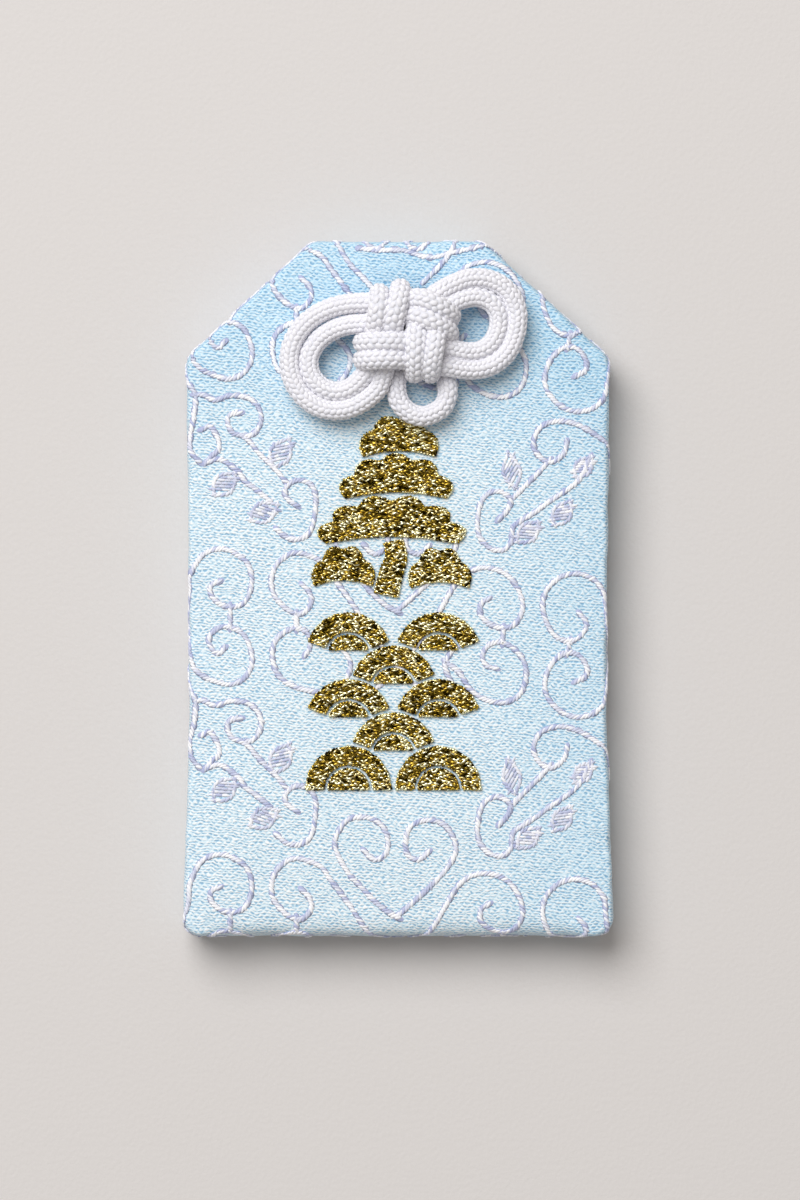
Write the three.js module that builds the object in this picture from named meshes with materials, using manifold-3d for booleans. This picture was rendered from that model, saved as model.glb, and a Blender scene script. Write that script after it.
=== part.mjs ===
// Omamori charm: a flat brocade pouch, sewn shut round a wrapped wooden tablet, with a
// double good-luck knot of white braided cord tied on its front.
// Millimetres. The charm lies on its back: +Z leaves the front face, +Y runs to the mouth,
// and the origin is under the middle of the pouch, on the surface that it lies on.
import * as THREE from "three";
import { mergeVertices } from "three/addons/utils/BufferGeometryUtils.js";
import Module from "manifold-3d";

const wasm = await Module();
wasm.setup();

// Pouch outline, seen from the front
const HEIGHT = 75.2; // bottom fold to mouth edge
const BASE_WIDTH = 46.8; // across the bottom, where the filling settles
const WAIST_WIDTH = 45.1; // narrowest place between the sides
const WAIST_RISE = 24; // bottom fold up to the waist
const SHOULDER_WIDTH = 45.8; // across the two shoulder corners
const SHOULDER_DROP = 12.6; // mouth edge down to the shoulder corners
const MOUTH_WIDTH = 18.6; // straight mouth edge between the folded-in shoulders
const CORNER_ROUND = 2; // corners of the outline
const CORNER_LEAST = 0.2; // where the outline is drawn in past its corners
const EDGE_ROUND = 2; // pillow rounding of the rim
const RIM = 0.8; // upright band of the rim, along the seam

// Thickness of each layer, and the room between them
const BROCADE = 0.45;
const INTERLINING = 0.25;
const CARD = 0.8;
const WADDING = 1;
const PAPER = 0.2;
const TABLET = 1.2;
const LAYER_GAP = 0.15; // between layers that lie on each other
const RUNNING_GAP = 0.3; // round the talisman, which is loose in the pouch

// Talisman
const TABLET_WIDTH = 30;
const TABLET_HEIGHT = 56;
const WRAPPER_OVERHANG = 1; // paper past each end of the tablet
const BAND_HEIGHT = 9;

// Seams
const SEAM_GAP = 0.6; // parting between the front and back of the strip
const SEAM_THREAD = 0.3;
const FOLD = 4.5; // height above the bottom where the fold ends and the side seams start

// Eyelet and cord
const CORD = 2.1; // diameter of the braided cord
const EYELET_CLEAR = 0.35;
const EYELET_SLIM = 0.76; // height of the eyelet as a share of its width
const EYELET_WALL = 0.35; // overcast stitches round the eyelet
const EYELET_LIP = 0.1; // stitches above the front face
const STOPPER_RADIUS = 3; // overhand knot of the two tails, inside the pouch
const STOPPER_HEIGHT = 3;
const HINGE_RISE = 1.1; // where the legs bend, above the front face

// Knot, placed by its middle on the front face
const KNOT_X = 0.76;
const KNOT_DROP = 9.7; // below the mouth edge
const LEG_X = 0.5; // middle of the two legs, from the knot's middle
const LEG_Y = 3.2;
const LEG_SPREAD = 1.1; // each leg to the middle of the eyelet

// Gold couched embroidery: a pine above rows of waves
const GOLD = 0.6;
const GOLD_X = -0.5;
const TRUNK_BASE_WIDTH = 2.6;
const TRUNK_TIP_WIDTH = 2;
const WAVE_TOP = -2.6;
const WAVE_RADIUS = 4.6;
const WAVE_BAND = 1.9;
const WAVE_DOME = 2.2;
const WAVE_GAP = 0.5;
const WAVE_STEP = 3.6;
const WAVE_ROWS = 5;

// Fineness of the facets
const CORNER_STEPS = 4;
const RIM_STEPS = 3;
const CORD_SIDES = 8;
const CORD_STEP = 0.8; // length of a facet along the cord
const THREAD_SIDES = 5;
const THREAD_STEPS = 26;
const ROUND_STEPS = 28;

// Levels through the stack, from the surface that the charm lies on
const liningInset = BROCADE + LAYER_GAP;
const cardBottom = liningInset + INTERLINING + LAYER_GAP;
const bandBottom = cardBottom + CARD + RUNNING_GAP;
const wrapperBottom = bandBottom + PAPER + LAYER_GAP;
const tabletBottom = wrapperBottom + PAPER + LAYER_GAP;
const tabletTop = tabletBottom + TABLET;
const wrapperTop = tabletTop + LAYER_GAP + PAPER;
const bandTop = wrapperTop + LAYER_GAP + PAPER;
const waddingBottom = bandTop + RUNNING_GAP;
const waddingTop = waddingBottom + WADDING;
const frontLiningTop = waddingTop + LAYER_GAP + INTERLINING;
const FACE = frontLiningTop + LAYER_GAP + BROCADE;
const seamLevel = FACE / 2;

// Places in plan
const top = HEIGHT / 2;
const bottom = -HEIGHT / 2;
const knotY = top - KNOT_DROP;
const eyeletX = KNOT_X + LEG_X;
const eyeletY = knotY + LEG_Y;
const eyeletRadius = LEG_SPREAD + CORD / 2 + EYELET_CLEAR;
const clothHole = eyeletRadius + EYELET_WALL + LAYER_GAP;
const stopperTop = waddingTop - RUNNING_GAP;
const wrapperFoot = bottom + EDGE_ROUND + RUNNING_GAP;

const charm = new THREE.Group();

// Finishes
const finish = (color, roughness, metalness = 0) =>
  new THREE.MeshStandardMaterial({ color, roughness, metalness });
const brocadeCloth = finish("#cfe4f0", 0.6);
const nonwoven = finish("#eceae2", 0.95);
const polyesterWadding = finish("#f6f6f2", 1);
const greyboard = finish("#a89f8e", 0.9);
const sewingThread = finish("#b9d3e4", 0.7);
const whiteCord = finish("#ebebf0", 0.75);
const goldThread = finish("#97803a", 0.35, 0.8);
const cypress = finish("#d9b98a", 0.6);
const washi = finish("#f1ece0", 0.9);
const redPaper = finish("#b13a34", 0.85);

function addPiece(name, geometry, material, parent = charm) {
  const mesh = new THREE.Mesh(geometry, material);
  mesh.name = name;
  parent.add(mesh);
  return mesh;
}

// Boolean cuts and joins
function solidOf(geometry) {
  const bare = geometry.clone();
  bare.deleteAttribute("normal");
  bare.deleteAttribute("uv");
  const merged = mergeVertices(bare);
  return new wasm.Manifold(
    new wasm.Mesh({
      numProp: 3,
      vertProperties: new Float32Array(merged.attributes.position.array),
      triVerts: new Uint32Array(merged.index.array),
    }),
  );
}

function geometryOf(solid) {
  const mesh = solid.getMesh();
  const geometry = new THREE.BufferGeometry();
  geometry.setAttribute("position", new THREE.BufferAttribute(mesh.vertProperties, 3));
  geometry.setIndex(new THREE.BufferAttribute(mesh.triVerts, 1));
  geometry.computeVertexNormals();
  return geometry;
}

// Pouch outline drawn in by an inset, anticlockwise from the bottom left corner
const pouchCorners = [
  [-BASE_WIDTH / 2, bottom],
  [BASE_WIDTH / 2, bottom],
  [WAIST_WIDTH / 2, bottom + WAIST_RISE],
  [SHOULDER_WIDTH / 2, top - SHOULDER_DROP],
  [MOUTH_WIDTH / 2, top],
  [-MOUTH_WIDTH / 2, top],
  [-SHOULDER_WIDTH / 2, top - SHOULDER_DROP],
  [-WAIST_WIDTH / 2, bottom + WAIST_RISE],
].map(([x, y]) => new THREE.Vector2(x, y));

function inwardNormal(from, to) {
  const along = to.clone().sub(from).normalize();
  return new THREE.Vector2(-along.y, along.x);
}

function pouchOutline(inset) {
  return pouchCorners.flatMap((corner, i) => {
    const normalIn = inwardNormal(pouchCorners.at(i - 1), corner);
    const normalOut = inwardNormal(corner, pouchCorners[(i + 1) % pouchCorners.length]);
    const turn = Math.atan2(normalIn.cross(normalOut), normalIn.dot(normalOut));
    const side = turn < 0 ? -1 : 1;
    const miter = normalIn.clone().add(normalOut).divideScalar(1 + normalIn.dot(normalOut));
    const round = Math.max(CORNER_ROUND, side * inset + CORNER_LEAST);
    const centre = corner.clone().addScaledVector(miter, side * round);
    const radius = round - side * inset;
    return Array.from({ length: CORNER_STEPS + 1 }, (_, step) => {
      const angle = normalIn.angle() + (turn * step) / CORNER_STEPS;
      return new THREE.Vector2(Math.cos(angle), Math.sin(angle))
        .multiplyScalar(-side * radius)
        .add(centre);
    });
  });
}

// Skin through rings of equal count, from the lowest to the highest, closed by two caps
function loft(rings) {
  const count = rings[0].length;
  const triangles = [];
  for (let ring = 0; ring < rings.length - 1; ring += 1) {
    for (let i = 0; i < count; i += 1) {
      const here = ring * count + i;
      const next = ring * count + ((i + 1) % count);
      triangles.push(here, next, next + count, here, next + count, here + count);
    }
  }
  const highest = (rings.length - 1) * count;
  for (const [a, b, c] of THREE.ShapeUtils.triangulateShape(rings[0], [])) {
    triangles.push(c, b, a, highest + a, highest + b, highest + c);
  }
  return new THREE.BufferGeometry().setFromPoints(rings.flat()).setIndex(triangles);
}

// Plate of the pouch's form with a pillow-rounded rim, drawn in all round by an inset
function pillow(inset) {
  const rounding = EDGE_ROUND - inset;
  const rise = seamLevel - inset - RIM / 2;
  const quarter = Array.from({ length: RIM_STEPS + 1 }, (_, i) => (Math.PI * i) / (2 * RIM_STEPS));
  const ringAt = (angle, side) => {
    const outline = pouchOutline(inset + rounding * (1 - Math.cos(angle)));
    const level = seamLevel + side * (RIM / 2 + rise * Math.sin(angle));
    return outline.map(({ x, y }) => new THREE.Vector3(x, y, level));
  };
  const lower = quarter.map((angle) => ringAt(angle, -1)).reverse();
  const upper = quarter.map((angle) => ringAt(angle, 1));
  return loft([...lower, ...upper]);
}

function flatSheet(shape, low, high) {
  const depth = high - low;
  return new THREE.ExtrudeGeometry(shape, { depth, bevelEnabled: false }).translate(0, 0, low);
}

function circlePoints(x, y, radius, sides) {
  return Array.from({ length: sides }, (_, side) => {
    const angle = (2 * Math.PI * side) / sides;
    return new THREE.Vector2(x + radius * Math.cos(angle), y + radius * Math.sin(angle));
  });
}

// Upright plug on the eyelet's axis, from the middle of the pouch out through its front
function eyeletPlug(radius, slim = 1) {
  const plug = new THREE.CylinderGeometry(radius, radius, FACE, ROUND_STEPS).rotateX(Math.PI / 2);
  plug.scale(1, slim, 1);
  return solidOf(plug.translate(eyeletX, eyeletY, seamLevel + FACE / 2));
}

// Cloth strip folded at the bottom: one shell, parted along its sides and mouth
function foldedStrip(inset, thickness) {
  const outside = solidOf(pillow(inset));
  const inside = solidOf(pillow(inset + thickness));
  const parting = new THREE.BoxGeometry(2 * BASE_WIDTH, HEIGHT, SEAM_GAP);
  parting.translate(0, FOLD, seamLevel);
  const shell = outside.subtract(inside).subtract(solidOf(parting));
  return geometryOf(shell.subtract(eyeletPlug(clothHole, EYELET_SLIM)));
}

addPiece("brocade_strip", foldedStrip(0, BROCADE), brocadeCloth);
addPiece("interlining_strip", foldedStrip(liningInset, INTERLINING), nonwoven);

// Flat layers inside, cut to the flat of the pouch
const cardShape = new THREE.Shape(pouchOutline(EDGE_ROUND));
addPiece("stiffener_card", flatSheet(cardShape, cardBottom, cardBottom + CARD), greyboard);

// The wadding is cut away round the stopper
const waddingSheet = solidOf(flatSheet(cardShape, waddingBottom, waddingTop));
const wadding = waddingSheet.subtract(eyeletPlug(STOPPER_RADIUS + RUNNING_GAP));
addPiece("wadding_pad", geometryOf(wadding), polyesterWadding);

// Threads that close the parting
function threadAlong(points) {
  const path = new THREE.CatmullRomCurve3(points, false, "centripetal");
  const section = new THREE.Shape(circlePoints(0, 0, SEAM_THREAD / 2, THREAD_SIDES));
  return new THREE.ExtrudeGeometry(section, { steps: THREAD_STEPS, extrudePath: path });
}

function sideSeam(side) {
  const foldTop = bottom + FOLD + SEAM_THREAD;
  const flare = ((BASE_WIDTH - WAIST_WIDTH) / 2) * (1 - (FOLD + SEAM_THREAD) / WAIST_RISE);
  const start = new THREE.Vector2(side * (WAIST_WIDTH / 2 + flare - BROCADE / 2), foldTop);
  const rim = pouchOutline(BROCADE / 2).filter(
    (point) => side * point.x > MOUTH_WIDTH / 2 && point.y > foldTop,
  );
  const route = side > 0 ? [start, ...rim] : [...rim, start];
  return threadAlong(route.map((point) => new THREE.Vector3(point.x, point.y, seamLevel)));
}

function mouthSeam() {
  const reach = MOUTH_WIDTH / 2 - CORNER_ROUND / 2;
  const ends = [-reach, 0, reach];
  return threadAlong(ends.map((x) => new THREE.Vector3(x, top - BROCADE / 2, seamLevel)));
}

addPiece("left_seam_thread", sideSeam(-1), sewingThread);
addPiece("right_seam_thread", sideSeam(1), sewingThread);
addPiece("mouth_seam_thread", mouthSeam(), sewingThread);

// Overcast stitches that line the eyelet
function ring(inner, outer, low, high) {
  const profile = [
    [inner, low],
    [outer, low],
    [outer, high],
    [inner, high],
    [inner, low],
  ];
  const points = profile.map(([radius, z]) => new THREE.Vector2(radius, z));
  return new THREE.LatheGeometry(points, ROUND_STEPS).rotateX(Math.PI / 2);
}

const stitches = addPiece(
  "eyelet_stitching",
  ring(eyeletRadius, eyeletRadius + EYELET_WALL, waddingTop, FACE + EYELET_LIP),
  sewingThread,
);
stitches.position.set(eyeletX, eyeletY, 0);
stitches.geometry.scale(1, EYELET_SLIM, 1);

// Talisman: a wooden tablet in an open-ended paper sleeve with a band round it
function sleeve(width, height, low, high) {
  const outside = new THREE.Shape();
  const inside = new THREE.Path();
  const half = width / 2;
  outside.moveTo(-half, low).lineTo(half, low).lineTo(half, high).lineTo(-half, high);
  const hollow = half - PAPER;
  inside.moveTo(-hollow, low + PAPER).lineTo(-hollow, high - PAPER);
  inside.lineTo(hollow, high - PAPER).lineTo(hollow, low + PAPER);
  outside.holes.push(inside);
  const geometry = new THREE.ExtrudeGeometry(outside, { depth: height, bevelEnabled: false });
  return geometry.rotateX(Math.PI / 2).translate(0, height, 0);
}

const talisman = new THREE.Group();
const wrapperHeight = TABLET_HEIGHT + 2 * WRAPPER_OVERHANG;
const wrapperWidth = TABLET_WIDTH + 2 * (LAYER_GAP + PAPER);
const bandWidth = wrapperWidth + 2 * (LAYER_GAP + PAPER);
talisman.position.set(0, wrapperFoot, 0);
charm.add(talisman);

const tabletShape = new THREE.Shape();
const shoulder = TABLET_WIDTH / 4;
tabletShape.moveTo(-TABLET_WIDTH / 2, 0).lineTo(TABLET_WIDTH / 2, 0);
tabletShape.lineTo(TABLET_WIDTH / 2, TABLET_HEIGHT - shoulder);
tabletShape.lineTo(TABLET_WIDTH / 2 - shoulder, TABLET_HEIGHT);
tabletShape.lineTo(shoulder - TABLET_WIDTH / 2, TABLET_HEIGHT);
tabletShape.lineTo(-TABLET_WIDTH / 2, TABLET_HEIGHT - shoulder);
const tablet = flatSheet(tabletShape, tabletBottom, tabletTop).translate(0, WRAPPER_OVERHANG, 0);
addPiece("talisman_tablet", tablet, cypress, talisman);
const wrapper = sleeve(wrapperWidth, wrapperHeight, wrapperBottom, wrapperTop);
addPiece("talisman_wrapper", wrapper, washi, talisman);
const band = sleeve(bandWidth, BAND_HEIGHT, bandBottom, bandTop);
band.translate(0, (wrapperHeight - BAND_HEIGHT) / 2, 0);
addPiece("wrapper_band", band, redPaper, talisman);

// Gold embroidery, in separate islands on the front face
const embroidery = new THREE.Group();
embroidery.position.set(GOLD_X, 0, FACE);
charm.add(embroidery);

function goldIsland(name, shape, x = 0, y = 0) {
  const options = { depth: GOLD, bevelEnabled: false, curveSegments: CORNER_STEPS };
  const island = addPiece(name, new THREE.ExtrudeGeometry(shape, options), goldThread, embroidery);
  island.position.set(x, y, 0);
}

// Bent trunk that tapers upward
function trunkShape(points) {
  const spine = new THREE.SplineCurve(points.map(([x, y]) => new THREE.Vector2(x, y)));
  const left = [];
  const right = [];
  for (let step = 0; step <= ROUND_STEPS / 2; step += 1) {
    const share = (2 * step) / ROUND_STEPS;
    const along = spine.getTangent(share);
    const half = THREE.MathUtils.lerp(TRUNK_BASE_WIDTH, TRUNK_TIP_WIDTH, share) / 2;
    const normal = new THREE.Vector2(-along.y, along.x).multiplyScalar(half);
    const middle = spine.getPoint(share);
    left.push(middle.clone().add(normal));
    right.unshift(middle.clone().sub(normal));
  }
  return new THREE.Shape([...right, ...left]);
}

// Tuft of pine needles: a cap of scallops over a foot that is arched in the middle
function tuftShape(width, height, lobes) {
  const swell = 1.36;
  const rim = (share, reach) => {
    const angle = Math.PI * (1 - share);
    return [(width / 2) * reach * Math.cos(angle), height * reach * Math.sin(angle)];
  };
  const shape = new THREE.Shape();
  shape.moveTo(...rim(0, 1));
  for (let lobe = 1; lobe <= lobes; lobe += 1) {
    shape.quadraticCurveTo(...rim((lobe - 0.5) / lobes, swell), ...rim(lobe / lobes, 1));
  }
  shape.quadraticCurveTo(0, height / 3, ...rim(0, 1));
  return shape;
}

const trunkSpine = [
  [-0.8, -0.6],
  [-0.2, 1.8],
  [0.3, 3.4],
  [0, 5.1],
];
goldIsland("pine_trunk", trunkShape(trunkSpine));
const tufts = [
  { name: "pine_left_tuft", width: 6.2, height: 3.8, lobes: 4, x: -5.4, y: 0.4 },
  { name: "pine_right_tuft", width: 6.2, height: 3.8, lobes: 4, x: 5, y: 0.2 },
  { name: "pine_wide_tuft", width: 14.2, height: 4.4, lobes: 6, x: -0.2, y: 5 },
  { name: "pine_middle_tuft", width: 11, height: 4.1, lobes: 5, x: 0.3, y: 9.85 },
  { name: "pine_top_tuft", width: 7.8, height: 3.9, lobes: 4, x: 0.6, y: 14.35 },
];
for (const { name, width, height, lobes, x, y } of tufts) {
  goldIsland(name, tuftShape(width, height, lobes), x, y);
}

// Overlapping fans of waves: each is cut short where the fans of the next row lie on it
const wavePitch = WAVE_RADIUS + WAVE_GAP / 2;

function meetingAngle(radius, lower) {
  if (!lower) return 0;
  const span = Math.hypot(wavePitch, WAVE_STEP);
  const reach = (WAVE_RADIUS + WAVE_GAP) ** 2 - radius ** 2 - span ** 2;
  const slope = Math.asin(reach / (2 * radius * span));
  return slope + Math.atan2(wavePitch, WAVE_STEP);
}

function waveBand(lower) {
  const inner = WAVE_RADIUS - WAVE_BAND;
  const start = Math.max(meetingAngle(WAVE_RADIUS, lower), meetingAngle(inner, lower));
  const shape = new THREE.Shape();
  shape.absarc(0, 0, WAVE_RADIUS, start, Math.PI - start, false);
  shape.absarc(0, 0, inner, Math.PI - start, start, true);
  return shape;
}

function waveDome(lower) {
  const start = meetingAngle(WAVE_DOME, lower);
  return new THREE.Shape().absarc(0, 0, WAVE_DOME, start, Math.PI - start, false);
}

for (let row = 0; row < WAVE_ROWS; row += 1) {
  const places = row % 2 === 0 ? [-1, 1] : [0];
  const y = WAVE_TOP - WAVE_RADIUS - row * WAVE_STEP;
  const lower = row < WAVE_ROWS - 1;
  for (const place of places) {
    const name = `wave_${row + 1}_${["left", "middle", "right"][place + 1]}`;
    goldIsland(`${name}_band`, waveBand(lower), place * wavePitch, y);
    goldIsland(`${name}_dome`, waveDome(lower), place * wavePitch, y);
  }
}

// Cord route from the left leg to the right one, from the knot's middle on the face.
// Each crown stretch lies in the core of the knot, and the loops stand out from it.
const legLeft = [LEG_X - LEG_SPREAD, LEG_Y, HINGE_RISE];
const legRight = [LEG_X + LEG_SPREAD, LEG_Y, HINGE_RISE];
const route = {
  crown_left_leg: [
    legLeft, [-0.58, 3.95, 2.1], [-0.52, 4.35, 3.3], [-0.5, 4.05, 4.5], [-0.7, 3.1, 5.3],
    [-1, 1.9, 5.45], [-1.3, 0.8, 5.1], [-1.45, -0.2, 4.2], [-1.55, -1.3, 3.45], [-1.9, -2.8, 3.3],
    [-2.25, -4.3, 3.25],
  ],
  left_outer_loop: [
    [-2.35, -4.65, 3.2], [-2.75, -6.1, 2.95], [-4, -7.4, 2.7], [-6.3, -8.55, 2.45],
    [-8.9, -8.45, 2.3], [-11.2, -6.9, 2.2], [-12.4, -4.2, 2.15], [-12.1, -1.4, 2.15],
    [-10.4, 0.95, 2.25], [-8, 2.3, 2.55], [-6, 2.75, 2.95], [-4.75, 2.82, 3.15],
  ],
  crown_upper_right: [
    [-4.4, 2.83, 3.2], [-2.6, 2.85, 3.3], [-0.8, 2.85, 3.25], [0.5, 3.1, 4], [1.7, 3.2, 4.95],
    [3, 2.75, 5.25], [4.2, 2, 4.7], [4.9, 1.5, 3.5], [4.6, 1, 2.2], [3.6, 0.2, 1.6],
    [2.9, -1.2, 1.55], [2.7, -2.7, 1.55], [2.75, -4, 1.9], [2.75, -4.75, 3.1], [2.75, -4.3, 4.5],
    [2.9, -3.2, 5.25], [3.1, -2, 5.45], [3.25, -0.8, 5], [3.3, 0.3, 4], [3.4, 1.2, 3.4],
    [3.9, 2.05, 3.3],
  ],
  right_inner_loop: [
    [4.2, 2.25, 3.25], [5.2, 2.85, 3.05], [6.4, 3.35, 2.8], [7.8, 3.5, 2.5], [9.3, 2.9, 2.3],
    [10.1, 1.6, 2.2], [10.05, 0.1, 2.2], [9.4, -1.35, 2.25], [8.2, -2.25, 2.4],
    [6.6, -2.45, 2.75], [4.65, -2.05, 3.2],
  ],
  crown_lower_left: [
    [4.3, -1.98, 3.25], [2.9, -1.75, 3.35], [1.5, -1.6, 3.5], [0.4, -1.45, 4.1],
    [-0.7, -1.45, 4.95], [-2, -1.45, 5.35], [-3.3, -1.45, 5.1], [-4.3, -1.5, 4.2],
    [-4.5, -1.4, 2.9], [-4, -0.8, 1.9], [-3.5, 0.3, 1.55], [-3.2, 1.6, 1.6], [-2.95, 2.8, 2],
    [-2.8, 3.7, 3], [-2.75, 3.7, 4.3], [-2.75, 2.9, 5.2], [-2.85, 1.8, 5.4], [-3, 0.8, 5.05],
    [-3.15, -0.2, 4.2], [-3.3, -1.4, 3.45], [-3.5, -2.8, 3.25], [-3.8, -4.05, 3.2],
  ],
  left_inner_loop: [
    [-3.95, -4.35, 3.15], [-4.7, -5.3, 2.9], [-5.7, -6.2, 2.65], [-7.1, -6.7, 2.45],
    [-8.8, -6.3, 2.3], [-10.1, -4.9, 2.2], [-10.35, -3.1, 2.2], [-9.5, -1.4, 2.25], [-8, -0.2, 2.5],
    [-6.2, 0.45, 2.85], [-4.35, 0.62, 3.15],
  ],
  crown_right_bottom: [
    [-4, 0.67, 3.2], [-2.6, 0.95, 3.35], [-1.2, 1.3, 3.4], [0.1, 1.5, 3.8], [1.2, 1.45, 4.7],
    [2.4, 1.05, 5.3], [3.6, 0.45, 5], [4.5, -0.1, 4], [4.7, -0.7, 2.8], [4.6, -1.8, 1.9],
    [4.4, -3, 1.55], [4.3, -4.2, 1.5],
  ],
  bottom_loop: [
    [4.3, -4.55, 1.5], [4.5, -5.8, 1.9], [4.6, -7, 2.1], [4, -8.35, 2.15], [2.8, -9.1, 2.15],
    [1.6, -9.3, 2.15], [0.4, -8.85, 2.15], [-0.6, -7.8, 2.15], [-0.95, -6.4, 2.05],
    [-0.9, -4.75, 1.65],
  ],
  crown_bottom_left: [
    [-0.9, -4.4, 1.6], [-1.9, -3.6, 1.55], [-3.2, -3.3, 1.7], [-4.3, -3.25, 2.6],
    [-4.5, -3.3, 3.8], [-3.8, -3.3, 4.9], [-2.6, -3.25, 5.35], [-1.3, -3.2, 5.2],
    [-0.2, -3.25, 4.4], [0.9, -3.4, 3.6], [2.2, -3.7, 3.35], [3.4, -3.9, 3.35], [4.55, -4.02, 3.35],
  ],
  right_outer_loop: [
    [4.9, -4.05, 3.3], [6, -4.25, 3], [7.6, -4.3, 2.65], [9.4, -3.8, 2.4], [11, -2.4, 2.2],
    [11.95, -0.1, 2.15], [11.95, 2.4, 2.15], [10.8, 4.4, 2.2], [8.9, 5.4, 2.35],
    [6.8, 5.45, 2.65], [5.2, 4.85, 3], [4.2, 4.35, 3.2],
  ],
  crown_right_leg: [
    [3.9, 4.15, 3.25], [2.9, 3.4, 3.35], [2, 2.4, 3.4], [1.5, 1.2, 3.6], [1.3, 0.1, 4.3],
    [1.2, -1, 5.1], [1.15, -2.2, 5.4], [1.1, -3.4, 5.1], [1.1, -4.4, 4.2], [1, -4.7, 3],
    [0.75, -4.1, 1.9], [0.5, -2.8, 1.55], [0.4, -1, 1.55], [0.6, 0.8, 1.5], [1.2, 2.2, 1.35],
    legRight,
  ],
};

function cordTube(points) {
  const places = points.map((point) => new THREE.Vector3(...point));
  const path = new THREE.CatmullRomCurve3(places, false, "centripetal");
  const section = new THREE.Shape(circlePoints(0, 0, CORD / 2, CORD_SIDES));
  const steps = Math.ceil(path.getLength() / CORD_STEP);
  return new THREE.ExtrudeGeometry(section, { steps, extrudePath: path });
}

// Pulled tight, the strands press into each other. Each stretch runs on into the next one,
// and the legs end in balls on the line where the knot lifts.
function knotCord() {
  const stretches = Object.values(route);
  const strands = stretches.map((points, i) => {
    const runOn = (stretches[i + 1] ?? []).slice(0, 2);
    return solidOf(cordTube([...points, ...runOn]));
  });
  const balls = [legLeft, legRight].map((place) =>
    solidOf(new THREE.SphereGeometry(CORD / 2, CORD_SIDES, CORD_SIDES).translate(...place)),
  );
  const joined = [...strands, ...balls].reduce((cord, strand) => cord.add(strand));
  const bodies = joined.decompose();
  return bodies.reduce((largest, body) => (body.volume() > largest.volume() ? body : largest));
}

const knot = addPiece("knot_cord", geometryOf(knotCord()), whiteCord);
knot.position.set(KNOT_X, knotY, FACE);

// Tails: two legs through the eyelet, tied in a stopper inside the pouch
function cordTails() {
  const low = stopperTop - STOPPER_HEIGHT;
  const waist = STOPPER_RADIUS * 0.84;
  const profile = [
    [0, low],
    [STOPPER_RADIUS * 0.7, low],
    [STOPPER_RADIUS, low + STOPPER_HEIGHT * 0.25],
    [waist, low + STOPPER_HEIGHT * 0.5],
    [STOPPER_RADIUS, low + STOPPER_HEIGHT * 0.75],
    [STOPPER_RADIUS * 0.7, stopperTop],
    [0, stopperTop],
  ];
  const points = profile.map(([radius, z]) => new THREE.Vector2(radius, z));
  const bun = new THREE.LatheGeometry(points, ROUND_STEPS).rotateX(Math.PI / 2);
  const legTop = FACE + HINGE_RISE - CORD / 2 - RUNNING_GAP;
  const legHeight = legTop - stopperTop + STOPPER_HEIGHT / 2;
  const legs = [-LEG_SPREAD, LEG_SPREAD].map((x) => {
    const leg = new THREE.CylinderGeometry(CORD / 2, CORD / 2, legHeight, CORD_SIDES);
    return solidOf(leg.rotateX(Math.PI / 2).translate(x, 0, legTop - legHeight / 2));
  });
  return legs.reduce((tails, leg) => tails.add(leg), solidOf(bun));
}

const tails = addPiece("cord_tails", geometryOf(cordTails()), whiteCord);
tails.position.set(eyeletX, eyeletY, 0);

export default charm;
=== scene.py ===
"""Omamori charm: a sewn brocade pouch with scroll and gold embroidery and a braided knot."""

import math

import bpy
import numpy as np
from bpy.props import FloatProperty, FloatVectorProperty, IntProperty, PointerProperty
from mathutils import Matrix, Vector, noise
from mathutils.bvhtree import BVHTree
from mathutils.geometry import delaunay_2d_cdt
from mathutils.interpolate import poly_3d_calc


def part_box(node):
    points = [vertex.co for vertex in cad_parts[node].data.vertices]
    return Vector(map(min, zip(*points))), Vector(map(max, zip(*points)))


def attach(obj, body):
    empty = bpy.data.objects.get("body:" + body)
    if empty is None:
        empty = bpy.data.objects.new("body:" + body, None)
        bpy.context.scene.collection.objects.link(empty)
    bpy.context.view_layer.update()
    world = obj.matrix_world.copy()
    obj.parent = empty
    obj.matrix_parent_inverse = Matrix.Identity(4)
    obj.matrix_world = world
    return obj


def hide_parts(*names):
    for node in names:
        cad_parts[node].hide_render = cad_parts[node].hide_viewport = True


bl_info = {
    "name": "Omamori charm",
    "version": (1, 0, 0),
    "blender": (4, 5, 0),
    "location": "View3D > Sidebar > Charm",
    "description": "Dresses the packed charm in brocade, embroidery and braided cord",
    "category": "Object",
}

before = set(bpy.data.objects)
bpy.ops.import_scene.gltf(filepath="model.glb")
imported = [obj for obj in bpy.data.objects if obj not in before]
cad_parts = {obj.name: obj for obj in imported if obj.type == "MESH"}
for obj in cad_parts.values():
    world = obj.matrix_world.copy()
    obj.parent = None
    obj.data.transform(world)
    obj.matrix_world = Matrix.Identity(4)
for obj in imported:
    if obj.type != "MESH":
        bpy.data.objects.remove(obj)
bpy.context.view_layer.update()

MM = 0.001
POUCH_LOW, POUCH_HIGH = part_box("brocade_strip")
FACE = POUCH_HIGH.z
SEAM_LEVEL = FACE / 2
POUCH_TOP = POUCH_HIGH.y
POUCH_BOTTOM = POUCH_LOW.y
EYELET_LOW, EYELET_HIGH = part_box("eyelet_stitching")
EYELET = np.array(((EYELET_LOW.x + EYELET_HIGH.x) / 2, (EYELET_LOW.y + EYELET_HIGH.y) / 2, FACE))
# The opening inside the overcast stitches, which the two legs press into an oval
EYELET_OPEN = np.array((EYELET_HIGH - EYELET_LOW) / 2)[:2] * (0.86, 0.6)
WADDING_LOW, WADDING_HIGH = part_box("wadding_pad")
STOPPER_LOW, STOPPER_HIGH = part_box("cord_tails")
STOPPER_RADIUS = (STOPPER_HIGH.x - STOPPER_LOW.x) / 2
GOLD_NODES = [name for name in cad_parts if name.startswith(("pine_", "wave_"))]

# The back is held up by the threads of the scrolls on it
BACK_LIFT = 0.2 * MM

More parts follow.
